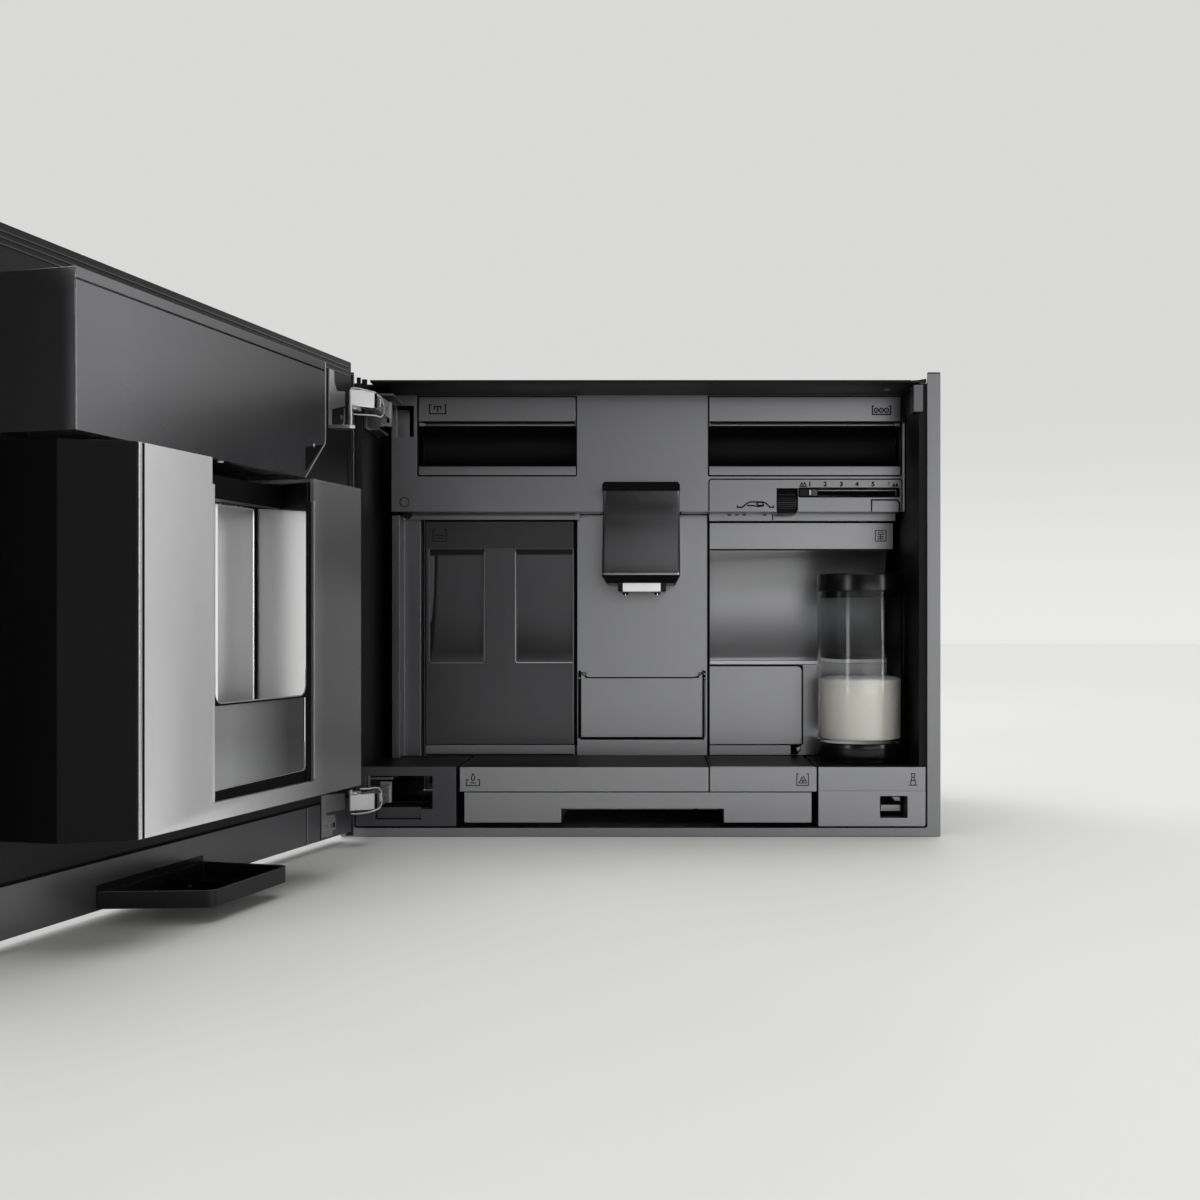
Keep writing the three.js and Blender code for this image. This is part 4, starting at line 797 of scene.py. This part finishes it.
# ------------------------------------------------------------------ drip area
lines("drip_symbol", [
    poly([(466.4, 779.6), (466.4, 785.6), (479.6, 785.6), (479.6, 779.6), (477.2, 779.6)], 0),
    poly([(466.4, 779.6), (468.6, 779.6)], 0),
    poly([(473.0, 773.4), (471.4, 777.4), (471.6, 779.6), (473.0, 780.8), (474.6, 779.6), (474.8, 777.4)], 0) + [px(473.0, 773.4, 0)],
    poly([(470.4, 782.9), (475.8, 782.9)], 0)], 0.95, 0.0, "drip_tray")
lines("grounds_symbol", [
    poly([(798.8, 773.8), (796.9, 773.8), (796.9, 785.3), (808.3, 785.3), (808.3, 773.8), (806.4, 773.8)], 0),
    poly([(798.9, 783.0), (800.6, 780.2), (801.4, 777.6), (803.8, 776.6), (805.4, 779.8), (806.4, 783.0)], 0) + [px(798.9, 783.0, 0)],
    poly([(800.6, 780.2), (803.4, 781.2), (805.4, 779.8)], 0),
    poly([(802.2, 783.0), (803.2, 781.2), (802.6, 778.2)], 0)], 0.85, 0.0, "grounds_container")
lines("milk_symbol", [
    poly([(908.4, 785.2), (917.8, 785.2)], 0.3),
    poly([(911.4, 785.0), (910.4, 782.6), (911.8, 778.4), (911.8, 775.6), (911.2, 773.6), (915.0, 773.6), (914.4, 775.6), (914.4, 778.4), (915.8, 782.6), (914.8, 785.0)], 0.3),
    poly([(911.8, 777.2), (914.4, 777.2)], 0.3), poly([(911.2, 780.6), (915.0, 780.6)], 0.3)], 0.8, 0.3, "chassis")
top_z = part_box("drip_cover")[1][2] / MM
build("drip_cover_rim", [ribbon([(-178.5, 4.0), (-178.5, 111.4), (66.4, 111.4)], 0.8, top_z, top_z + 0.12, axis="z")], M["faint"], "drip_cover")
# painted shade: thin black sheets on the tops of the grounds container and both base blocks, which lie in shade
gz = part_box("grounds_container")[1][2] / MM
build("grounds_top_shade", [block(69.2, 172.0, 3.6, 112.0, gz, gz + 0.15)], M["black"], "grounds_container")
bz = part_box("right_base_block")[1][2] / MM
build("right_block_top_shade", [block(176.8, 275.2, 1.0, 111.6, bz, bz + 0.12)], M["black"], "chassis")
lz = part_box("left_base_block")[1][2] / MM
build("left_block_top_shade", [block(-275.2, -183.2, 1.0, 111.6, lz, lz + 0.12)], M["black"], "chassis")
build("sill_line", [block(-232.0, -73.4, 112.0, 114.4, lz + 0.2, lz + 2.2)], M["black"], "chassis")
# peg that hangs in the slot of the lower drawer
build("slot_peg", [lathe([(0, 14.6), (2.0, 14.6), (2.6, 15.4), (2.6, 25.0), (3.3, 26.4), (3.3, 27.3), (0, 27.3)], (56.8, 84.8), 32)], M["gloss"], "lower_drawer")
# painted highlight: a lit ring round the top of the peg
build("slot_peg_lit_collar", [lathe([(2.7, 25.2), (3.7, 25.6), (3.9, 26.6), (3.5, 27.35), (2.7, 27.35)] + [(2.7, 25.2)], (56.8, 84.8), 32)], M["edge"], "lower_drawer")
# catch inside the right block's opening
def cpx(u, v, y=20.0):
    return px(u, v, y)


build("catch_plate", [prism([cpx(880.5, 804.6), cpx(900.4, 804.6), cpx(900.4, 811.2), cpx(880.5, 811.2)], 20, 28, "y")], M["ledge"], "chassis", bevel=0.4)
build("catch_wedge", [prism([cpx(891.6, 796.6), cpx(900.4, 796.6), cpx(900.4, 801.0), cpx(895.2, 801.0)], 20, 30, "y")], M["ledge"], "chassis", bevel=0.3)
build("catch_spring", [tube([(*[cpx(880.2, 803.2)[0]], 21.0, cpx(880.2, 803.2)[1]), (cpx(893.0, 803.2)[0], 21.0, cpx(893.0, 803.2)[1]), (cpx(895.0, 802.2)[0], 21.0, cpx(895.0, 802.2)[1]), (cpx(900.2, 802.0)[0], 21.0, cpx(900.2, 802.0)[1])], 0.45, 10)], M["print"], "chassis")
build("catch_pocket_back", [prism(rounded(236.6, 265.0, 17.8, 40.6, 0.8), 57.5, 59.5, "y")], M["black"], "chassis")
# rest block under the lower hinge arm
build("hinge_rest_block", [prism(rounded(-262.4, -218.5, 17.1, 28.2, [0.4, 0.4, 1.2, 1.2]), 6.5, 40, "y")], M["dark"], "chassis", bevel=0.5)

# ------------------------------------------------------------------ milk container
JX, JY = 227.0, 64.5


def circle_profile(points, c=(JX, JY), n=96):
    return lathe(points, c, n)


jar = build("milk_jar_glass", [circle_profile([(0, 89.5), (43.6, 89.5), (44.3, 90.2), (44.45, 91.2), (44.45, 243.2), (44.1, 243.9), (42.6, 243.9), (42.15, 243.3), (42.15, 94.2), (41.2, 92.8), (39.6, 92.5), (0, 92.5)])], M["jar"], "milk_container", angle=60)
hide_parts("milk_jar")
base = build("milk_jar_foot", [circle_profile([(0, 69.0), (41.2, 69.0), (41.9, 69.5), (42.2, 70.4), (42.2, 72.6), (42.6, 73.6), (44.2, 74.6), (44.6, 75.6), (44.6, 83.2), (44.2, 83.5), (44.2, 84.1), (44.6, 84.4), (44.6, 88.2), (44.2, 89.1), (0, 89.1)])], M["cap"], "milk_container", angle=40)
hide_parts("milk_jar_base")
cap = build("milk_jar_cap", [circle_profile([(0, 247.0), (38.8, 247.0), (38.8, 237.6), (39.2, 237.1), (41.3, 237.1), (41.6, 237.6), (41.6, 244.5), (44.2, 244.5), (44.6, 244.9), (44.6, 260.3), (44.2, 261.2), (43.2, 261.9), (41.6, 262.0), (40.6, 261.5), (39.8, 261.4), (0, 261.4)])], M["cap"], "milk_lid", angle=40)
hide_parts("milk_jar_lid")
build("milk", [circle_profile([(0, 92.6), (39.5, 92.6), (41.1, 93.0), (41.95, 94.4), (42.0, 149.5), (0, 149.5)])], M["milk"], "milk_container", angle=50)
foam_pts = [(0, 149.5), (42.0, 149.5), (42.0, 152.8), (41.4, 153.6), (38.0, 154.9), (30.0, 156.0), (18.0, 156.7), (8.0, 157.0), (0, 157.1)]
build("milk_foam", [circle_profile(foam_pts)], M["foam"], "milk_container", angle=50)

# ------------------------------------------------------------------ hinges
# the bar across the front of each arm runs from its pin to the bend
BAR0, BAR1 = (-272.0, -68.5), (-251.4, -57.0)
_b = Vector((BAR1[0] - BAR0[0], BAR1[1] - BAR0[1]))
BLEN = _b.length
BD = _b.normalized()
BN = Vector((BD.y, -BD.x))       # out of the bar, into the room


def bar_pt(s, w):
    """A point s mm along the bar from its pin end and w mm in front of it."""
    return (BAR0[0] + BD.x * s + BN.x * w, BAR0[1] + BD.y * s + BN.y * w)


def bar_plate(outline, w0, w1):
    """An outline of (distance along the bar, height) standing on the bar's front face."""
    vs = []
    for w in (w0, w1):
        for s_, z in outline:
            x, y = bar_pt(s_, w)
            vs.append((x, y, z))
    n = len(outline)
    return vs, [list(range(n)), [n + i for i in reversed(range(n))]] + [[i, (i + 1) % n, n + (i + 1) % n, n + i] for i in range(n)]


def wire(pts):
    """(pixel, pixel, depth) of the photograph to points."""
    out = []
    for u, v, y in pts:
        x, z = px(u, v, y)
        out.append((x, y, z))
    return out


def hinge_fittings(tag, z0, z1, up):
    """Facing plate, wire spring, pin, collar and rivets of one hinge arm."""
    body = "hinge_arm_" + tag
    face = [(0.6, z0 + 0.5), (BLEN - 1.2, z0 + (-0.6 if up > 0 else 1.2)), (BLEN - 0.4, z0 + 1.0), (BLEN - 0.4, z1 - 1.6), (BLEN - 1.2, z1 - (1.6 if up > 0 else 0.2)), (0.6, z1 - 0.2)]
    build("hinge_face_" + tag, [bar_plate(face, 0.05, 0.5)], M["plated"], body, bevel=0.18)
    sq = 0.62 * BLEN
    zc = (z0 + z1) / 2 + 1.2 * up
    build("hinge_mark_" + tag, [ribbon_on_bar(rounded(sq - 1.9, sq + 1.9, zc - 1.9, zc + 1.9, 0.5, 3), 0.5, 0.5, 0.62)], M["plated_grey"], body)
    x, y = bar_pt(BLEN - 0.2, -0.4)
    build("hinge_end_shadow_" + tag, [prism([(x, y - 0.3), (x + 1.5, y + 0.5), (x + 1.5, y + 6.0), (x, y + 5.0)], z0 + 0.8, z1 - 1.2, "z")], M["groove"], body)
    if up > 0:
        loop = wire([(350.6, 413.6, -67), (358.0, 414.6, -64.5), (368.0, 415.2, -60.0), (376.0, 415.8, -56.0), (380.6, 417.2, -53.0), (383.2, 414.6, -51.0), (384.0, 408.0, -50.0), (382.4, 401.0, -50.5), (380.0, 397.0, -52.0), (376.8, 394.8, -54.0)])
        top = wire([(350.8, 388.6, -67.5), (356.0, 388.2, -66.0), (364.0, 389.8, -62.0), (371.0, 391.6, -58.5), (376.0, 393.2, -55.5)])
        px0, pz = (-271.0, -70.0), (397.2, z0 + 0.3)
        ring_z = (411.6, 413.4)
    else:
        loop = wire([(351.0, 813.6, -66.5), (358.0, 813.8, -64.0), (368.0, 812.4, -60.0), (376.2, 809.8, -56.0), (380.4, 806.6, -53.0), (381.6, 800.6, -51.0), (381.2, 792.6, -50.5), (379.6, 788.8, -51.5), (376.4, 787.6, -53.5), (368.0, 788.6, -59.0), (360.0, 789.0, -63.0)])
        top = []
        px0, pz = (-271.0, -70.0), (z1 - 0.2, 54.4)
        ring_z = (50.6, 52.2)
    parts = [tube(loop, 0.85, 12, fine=5)]
    if top:
        parts.append(tube(top, 0.7, 12, fine=5))
    build("hinge_spring_" + tag, parts, M["plated"], body)
    # the bright sleeve beside the loop, seen end on
    sx_, sz_ = px(380.8, 404.0 if up > 0 else 797.0, -50.0)
    build("hinge_sleeve_" + tag, [lathe([(0, sz_ - 4.0), (0.9, sz_ - 4.0), (1.2, sz_ - 3.6), (1.2, sz_ + 3.6), (0.9, sz_ + 4.0), (0, sz_ + 4.0)], (sx_ - 0.3, -52.6), 24)], M["plated"], body)
    # pin: a turned shank, and a collar
    r = 1.95 if up > 0 else 1.75
    build("hinge_pin_" + tag, [lathe([(0, pz[0]), (r - 0.4, pz[0]), (r, pz[0] + 0.4), (r, pz[1] - 0.3), (r - 0.3, pz[1]), (0, pz[1])], px0, 32)], M["plated"], body)
    build("hinge_collar_" + tag, [lathe([(1.7, ring_z[0]), (3.6, ring_z[0]), (4.0, ring_z[0] + 0.4), (4.0, ring_z[1] - 0.4), (3.6, ring_z[1]), (1.7, ring_z[1]), (1.7, ring_z[0])], (-268.6, -66.6), 32)], M["plated_grey"], body)
    # rivets on the shank
    parts = []
    for yy in (-30.0, -8.0):
        parts.append(lathe([(0, -249.0), (1.0, -249.1), (1.7, -249.5), (1.7, -250.6), (0, -250.6)], (yy, (z0 + z1) / 2), 20, "x"))
    build("hinge_rivets_" + tag, parts, M["plated_dark"], body)


def ribbon_on_bar(pts, w, w0, w1):
    """A closed line of width w drawn on the bar's front face."""
    vs, fs = ribbon(pts, w, w0, w1, True)
    out = []
    for s_, d, z in vs:
        x, y = bar_pt(s_, d)
        out.append((x, y, z))
    return out, fs


hinge_fittings("top", 415.4, 431.0, 1)
hinge_fittings("bottom", 34.9, 49.9, -1)
# plates, screws and turned-up edges on the door
build("hinge_edge_top", [prism([(-281.8, 419.0), (-279.4, 418.4), (-279.4, 432.6), (-281.8, 433.0)], 0.1, 0.45, "y")], M["plated"], "door", door=True, bevel=0.1)
build("hinge_edge_bottom", [prism([(-246.0, 12.5), (-243.6, 12.5), (-243.6, 51.2), (-246.0, 51.2)], 0.1, 0.3, "y")], M["plated"], "door", door=True, bevel=0.08)
build("hinge_ear_top", [prism([(-266, 430.4), (-261.4, 429.4), (-260.2, 436.5), (-260.2, 448.8), (-256.4, 448.8), (-256.4, 434.0), (-254.0, 428.0), (-251.0, 427.4), (-251.0, 448.9), (-260.6, 448.9), (-261.0, 437.6)], 0.12, 0.4, "y")], M["plated_grey"], "door", door=True)
build("hinge_foot_plate_top", [ribbon([(-281.0, 417.0), (-280.4, 404.0), (-278.0, 400.6), (-266.0, 397.4)], 1.2, -0.6, 0.6)], M["plated"], "door", door=True, bevel=0.15)
build("hinge_foot_screw_top", [lathe([(0, 0.62), (1.4, 0.62), (2.2, 0.4), (2.4, 0.0), (2.4, -0.6), (0, -0.6)], (-275.6, 407.0), 24, "y")], M["plated_dark"], "door", door=True)
build("hinge_plate_slot_bottom", [prism(rounded(-256.2, -253.4, 19.2, 24.6, 1.3), 3.0, 3.25, "y")], M["groove"], "door", door=True)
build("hinge_plate_screw_bottom", [lathe([(0, 3.9), (1.2, 3.9), (1.9, 3.5), (2.0, 3.0), (0, 3.0)], (-250.0, 22.0), 24, "y")], M["plated_dark"], "door", door=True)
# black strip along the frame's hinge side, and the dark stiles above the upper hinge
build("frame_seal_strip", [block(-291.8, -284.4, -0.3, 0.1, 1.0, 457.4)], M["rubber"], "chassis", bevel=0.1)
build("hinge_stiles", [block(-281.6, -277.6, 1.5, 3.0, 434.0, 455.0), block(-276.8, -271.6, 3.2, 4.6, 432.5, 453.5)], M["black"], "chassis", bevel=0.3)

# ------------------------------------------------------------------ door: display housing and upper edge
HY = 59.0
build("housing_edge_light", [prism([(-136.0, 362.5), (-134.9, 362.2), (-134.9, 430.2), (-136.0, 430.2)], HY, HY + 0.18, "y"),
                             prism([(-136.0, 362.3), (-135.0, 362.7), (-102.3, 330.4), (-102.8, 329.7)], HY, HY + 0.18, "y")], M["edge"], "door", door=True)
nx = [dpx(u, v, HY) for u, v in ((305.6, 447.0), (322.8, 444.6), (319.2, 450.6), (305.6, 471.0))]
build("housing_notch", [prism(nx, HY - 0.1, HY + 0.22, "y")], M["groove"], "door", door=True)
ex, ez = dpx(313.8, 445.3, HY)
build("housing_notch_glint", [lathe([(0, HY + 0.55), (1.0, HY + 0.5), (1.5, HY + 0.3), (1.5, HY + 0.2), (0, HY + 0.2)], (ex, ez), 24, "y")], M["edge"], "door", door=True)
# the black profile along the door's upper edge: three fine ribs
ribs = []
for z in (449.2, 453.4, 457.6):
    ribs.append(block(-290, 294, -0.95, -0.35, z, z + 1.1))
build("door_top_ribs", ribs, M["gloss"], "door", door=True, bevel=0.15)
build("door_side_seal", [block(289.5, 293.5, -0.95, -0.45, 52, 456), block(-293.5, -289.5, -0.95, -0.45, 60, 380)], M["rubber"], "door", door=True, bevel=0.5)

# grey facets on the housing's underside, and a small lit spot
build("housing_facets", [prism([(5.2, 58.0), (-87.0, 57.0), (-73.0, 38.0)], 329.0, 329.45, "z"), prism([(-75.0, 36.0), (-118.0, 30.0), (-116.0, 12.0)], 329.0, 329.45, "z")], M["dark"], "door", door=True)
build("housing_lamp", [lathe([(0, 328.6), (1.6, 328.7), (2.2, 329.1), (2.2, 329.45), (0, 329.45)], (12.0, 60.0 - 6.0), 24)], M["mark"], "door", door=True)

# ------------------------------------------------------------------ door: cup niche
for side_, sg in (("hinge", -1), ("free", 1)):
    build("niche_mouth_" + side_, [prism([(sg * 126.0, -1.7), (sg * 101.5, -20.4), (sg * 101.0, -21.0), (sg * 104.0, -21.0), (sg * 126.4, -4.2)], 133.0, 307.0, "z")], M["liner_shade"], "door", door=True, bevel=0.1)
for side_, sg in (("hinge", -1), ("free", 1)):
    build("niche_mouth_gap_" + side_, [prism([(sg * 127.0, -1.75), (sg * 125.0, -2.5), (sg * 124.6, -1.0), (sg * 125.9, 0.3)], 133.0, 307.0, "z")], M["groove"], "door", door=True)
build("niche_edge_trim", [block(145.0, 148.2, 83.0, 83.4, 73.6, 324.8)], M["bright"], "door", door=True, bevel=0.15)
build("niche_edge_shadow", [block(142.4, 144.8, 83.0, 83.25, 73.6, 324.8)], M["groove"], "door", door=True)
ZT = 306.6
mask = [(63.9, ZT), (63.9, 152.6), (-72.2, 152.6), (-72.2, ZT), (-65.3, ZT), (-65.3, 161.8)]
mask += [(-57.3 - 8.0 * math.cos(math.radians(a)), 161.8 - 8.0 * math.sin(math.radians(a))) for a in range(15, 91, 15)]
mask += [(52.5 + 8.0 * math.sin(math.radians(a)), 161.8 - 8.0 * math.cos(math.radians(a))) for a in range(0, 91, 15)] + [(60.5, ZT)]
build("window_mask", [prism(mask, 80.2, 81.0, "y")], M["groove"], "door", door=True)
build("window_mask_low", [block(-72.2, -64.5, 80.2, 81.0, 86.2, 152.6), prism([(63.9, 86.2), (-64.5, 86.2), (-64.5, 95.2), (63.9, 93.2)], 79.8, 80.3, "y")], M["groove"], "door", door=True)
build("window_strip", [block(63.95, 67.4, 80.2, 83.0, 86.2, ZT)], M["panel"], "door", door=True, bevel=0.15)
build("window_edge_light", [block(-74.3, -72.4, 83.0, 83.3, 88.0, ZT + 1.0)], M["edge"], "door", door=True, bevel=0.1)
uy0, uy1 = 77.3, 79.7
pan = [(63.2, 153.3), (63.2, 92.2), (-59.4, 94.4)] + [(-59.4 - 5.0 * math.sin(math.radians(a)), 99.4 - 5.0 * math.cos(math.radians(a))) for a in range(15, 91, 15)] + [(-64.4, 153.3)]
low = build("niche_lower_cover", [prism(pan, uy0, uy1, "y")], M["lowpanel"], "door", door=True, bevel=0.5)
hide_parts("niche_lower_panel")
rim_top = [(60.0, 175.0), (60.0, 161.8)] + [(52.5 + 7.5 * math.cos(math.radians(a)), 161.8 - 7.5 * math.sin(math.radians(a))) for a in range(15, 91, 15)]
rim_top += [(-57.3 - 7.5 * math.sin(math.radians(a)), 161.8 - 7.5 * math.cos(math.radians(a))) for a in range(0, 91, 15)] + [(-64.8, 175.0)]
build("window_rim", [ribbon(rim_top, 0.9, 80.0, 80.5)], M["edge"], "door", door=True)
rim_low = [(62.6, 92.9), (-59.4, 95.1)] + [(-59.4 - 4.4 * math.sin(math.radians(a)), 99.4 - 4.4 * math.cos(math.radians(a))) for a in range(15, 91, 15)] + [(-63.8, 118.0)]
build("lower_cover_rim", [ribbon(rim_low, 1.0, uy1, uy1 + 0.3)], M["edge"], "door", door=True)
build("lower_cover_edge", [block(62.9, 63.5, uy1 - 0.1, uy1 + 0.2, 92.6, 153.0)], M["faint"], "door", door=True)

# ------------------------------------------------------------------ door: lower flange and drip spout
lines("flange_seam", [[(-210.9, 43.3), (-210.9, 10.2)], [(-236.4, 43.3), (-236.4, 10.2)]], 1.1, -0.8, "door", M["groove"], door=True, thick=0.15)
lines("flange_seam_light", [[(-212.3, 43.3), (-212.3, 10.2)]], 0.6, -0.8, "door", M["edge"], door=True, thick=0.15)
lines("flange_top_line", [[(-296.0, 44.6), (296.0, 44.6)]], 2.4, -1.0, "door", M["groove"], door=True, thick=0.2)
build("spout_back", [prism(rounded(-48.8, 79.4, 11.2, 27.8, 1.0), -0.75, -0.2, "y")], M["spout"], "door", door=True, bevel=0.2)
rim = [(-46.6, 0.2), (-46.6, 69.0)] + [(c[0], c[1]) for c in arc(-40, 69, 6.6, 180, 90, 5)][1:] + [(c[0], c[1]) for c in arc(50, 70, 5.6, 90, 17, 5)] + [(78.2, 0.6)]
build("spout_rim", [ribbon(rim, 0.9, 22.9, 23.35, axis="z")], M["dark"], "door", door=True)
build("spout_rib", [prism([(4.0, 13.0), (5.4, 13.0), (5.1, 19.0), (4.3, 19.0)], 3.4, 72.6, "y")], M["spout"], "door", door=True, bevel=0.2)
build("spout_peg", [lathe([(2.6, 13.0), (2.3, 19.6), (1.6, 20.4), (0, 20.6)] , (30.0, 40.0), 24)], M["gloss"], "door", door=True)
# lower catch on the free side, which enters the right-hand block
build("lower_catch", [prism([(244.0, 22.5), (258.0, 22.5), (258.0, 36.5), (244.0, 36.5)], -0.75, 1.6, "y"), prism(rounded(247.0, 255.0, 25.0, 34.0, 1.5), 1.5, 11.0, "y"), prism(rounded(246.4, 255.6, 31.0, 35.0, 1.0), 8.0, 11.6, "y")], M["plated"], "door", door=True, bevel=0.5)

# ------------------------------------------------------------------ outside: screws, seams and stiffening
def screws(name, places, axis, h0, h1, r=3.6, mat="plated_dark", body="chassis", door=False):
    parts = []
    for c in places:
        s = 1 if h1 > h0 else -1
        parts.append(lathe([(0, h1 - s * 0.5), (r * 0.3, h1 - s * 0.5), (r * 0.36, h1), (r * 0.7, h1 - s * 0.1), (r, h0 + s * 0.5), (r, h0), (0, h0)], c, 24, axis))
    build(name, parts, M[mat], body, door=door)


screws("rear_screws", [(-266, 20), (266, 20), (-266, 225), (266, 225), (-266, 438), (266, 438), (0, 438), (0, 20), (212.5, 72), (237.5, 72)], "y", 353.75, 355.6)
build("rear_ribs", [ribbon(rounded(-245, 245, 92, 232, 14), 5.0, 353.7, 354.9, True)], M["zinc"], "chassis", bevel=0.3)
build("inlet_pins", [lathe([(0, 336), (1.9, 336), (1.9, 351), (1.2, 352), (0, 352)], c, 20, "y") for c in ((218.5, 48.5), (225.0, 52.5), (231.5, 48.5))], M["bright"], "chassis")
for s, tag in ((-1, "left"), (1, "right")):
    side = s * 278.52
    screws("side_screws_" + tag, [(24, 40), (24, 410), (330, 40), (330, 410), (180, 30)], "x", side, side + s * 1.5)
    build("side_emboss_" + tag, [ribbon(rounded(60, 300, 80, 370, 18), 6.0, side, side + s * 1.0, True, axis="x")], M["shell"], "chassis", bevel=0.3)
screws("top_screws", [(-250, 40), (250, 40), (-250, 340), (250, 340), (0, 340)], "z", 452.25, 453.7)
build("top_vents", [ribbon([(-180, 260 + 14 * i), (-40, 260 + 14 * i)], 5.0, 452.2, 452.45, axis="z") for i in range(5)] + [ribbon([(40, 260 + 14 * i), (180, 260 + 14 * i)], 5.0, 452.2, 452.45, axis="z") for i in range(5)], M["groove"], "chassis")

# ------------------------------------------------------------------ stage, lights
floor_me = bpy.data.meshes.new("floor")
R = 14.0
floor_me.from_pydata([(-R, -R, -0.0004), (R, -R, -0.0004), (R, R, -0.0004), (-R, R, -0.0004)], [], [[0, 1, 2, 3]])
floor = bpy.data.objects.new("floor", floor_me)
bpy.context.scene.collection.objects.link(floor)
floor_me.materials.append(finish("pale floor", (0.70, 0.70, 0.685), 0.55, blotch=0.015, blotch_scale=1.5, grain=300, grain_amt=0.02))

SOFTBOX, ROOM, WALL, OVERHEAD, SIDE, STRIPS = 2.9, 0.03, 0.70, 2.2, 0.2, 8.5
world = bpy.data.worlds.new("studio")
bpy.context.scene.world = world
world.use_nodes = True
wt = world.node_tree
bg = wt.nodes["Background"]


def wnode(op, a, b=None, c=None):
    n = wt.nodes.new("ShaderNodeMath")
    n.operation = op
    for i, v in enumerate((a, b, c)):
        if v is None:
            continue
        if isinstance(v, (int, float)):
            n.inputs[i].default_value = v
        else:
            wt.links.new(v, n.inputs[i])
    return n.outputs[0]


def wramp(value, a, b, lo=0.0, hi=1.0):
    n = wt.nodes.new("ShaderNodeMapRange")
    n.interpolation_type = "SMOOTHSTEP"
    n.inputs["From Min"].default_value = a
    n.inputs["From Max"].default_value = b
    n.inputs["To Min"].default_value = lo
    n.inputs["To Max"].default_value = hi
    wt.links.new(value, n.inputs["Value"])
    return n.outputs[0]


# a studio round the machine: a bright wall behind it, a large softbox low on the right in front,
# a slim one on the left, and a dim room elsewhere
tcw = wt.nodes.new("ShaderNodeTexCoord")
sepw = wt.nodes.new("ShaderNodeSeparateXYZ")
wt.links.new(tcw.outputs["Generated"], sepw.inputs[0])
dx_, dy_, dz_ = sepw.outputs
azim = wnode("ARCTAN2", dx_, wnode("MULTIPLY", dy_, -1.0))       # 0 in front, + to the right
RAD = math.pi / 180
soft = wnode("MULTIPLY", wramp(azim, -8 * RAD, 10 * RAD), wramp(azim, 34 * RAD, 56 * RAD, 1.0, 0.0))
soft = wnode("MULTIPLY", soft, wramp(dz_, 0.0, 0.22, 1.0, 0.10))
strip_r = wnode("MULTIPLY", wramp(azim, 50 * RAD, 52 * RAD), wramp(azim, 61 * RAD, 63 * RAD, 1.0, 0.0))
strip_l = wnode("MULTIPLY", wramp(azim, -48 * RAD, -46 * RAD), wramp(azim, -38 * RAD, -36 * RAD, 1.0, 0.0))
strips = wnode("MULTIPLY", wnode("ADD", strip_r, wnode("MULTIPLY", strip_l, 0.7)), wramp(dz_, 0.25, 0.5, 1.0, 0.0))
slim = wnode("MULTIPLY", wramp(azim, -78 * RAD, -72 * RAD), wramp(azim, -68 * RAD, -62 * RAD, 1.0, 0.0))
slim = wnode("MULTIPLY", slim, wramp(dz_, 0.3, 0.6, 1.0, 0.0))
side = wnode("MULTIPLY", wramp(azim, 82 * RAD, 96 * RAD), wramp(azim, 138 * RAD, 150 * RAD, 1.0, 0.0))
side = wnode("MULTIPLY", side, wramp(dz_, 0.3, 0.6, 1.0, 0.0))
front = wnode("ADD", wnode("MULTIPLY", soft, SOFTBOX), wnode("ADD", wnode("MULTIPLY", slim, 1.6), ROOM))
back = wramp(dy_, -0.15, 0.25)
level = wnode("ADD", wnode("MULTIPLY", front, wnode("SUBTRACT", 1.0, back)), wnode("MULTIPLY", back, WALL))
level = wnode("ADD", level, wnode("MULTIPLY", side, SIDE))
level = wnode("ADD", level, wnode("MULTIPLY", strips, STRIPS))
level = wnode("ADD", level, wnode("MULTIPLY", back, wramp(dz_, 0.0, 0.16, 0.12, 0.0)))
level = wnode("ADD", level, wramp(dz_, 0.78, 0.90, 0.0, OVERHEAD))
bg.inputs["Color"].default_value = (1.0, 0.998, 0.985, 1)
wt.links.new(level, bg.inputs["Strength"])


def lamp(name, loc, aim, size, power, size_y=None, colour=(1, 1, 1)):
    li = bpy.data.lights.new(name, "AREA")
    li.shape = "RECTANGLE"
    li.size = size
    li.size_y = size_y or size
    li.energy = power
    li.color = colour
    ob = bpy.data.objects.new(name, li)
    ob.location = loc
    ob.rotation_euler = (Vector(aim) - Vector(loc)).to_track_quat("-Z", "Y").to_euler()
    bpy.context.scene.collection.objects.link(ob)
    return ob


lamp("rim", (-1.6, 1.7, 1.9), (0.0, 0.1, 0.2), 1.2, 14.0)

bpy.context.scene.view_settings.view_transform = "Standard"
bpy.context.scene.view_settings.look = "None"
bpy.context.scene.view_settings.exposure = 0.0
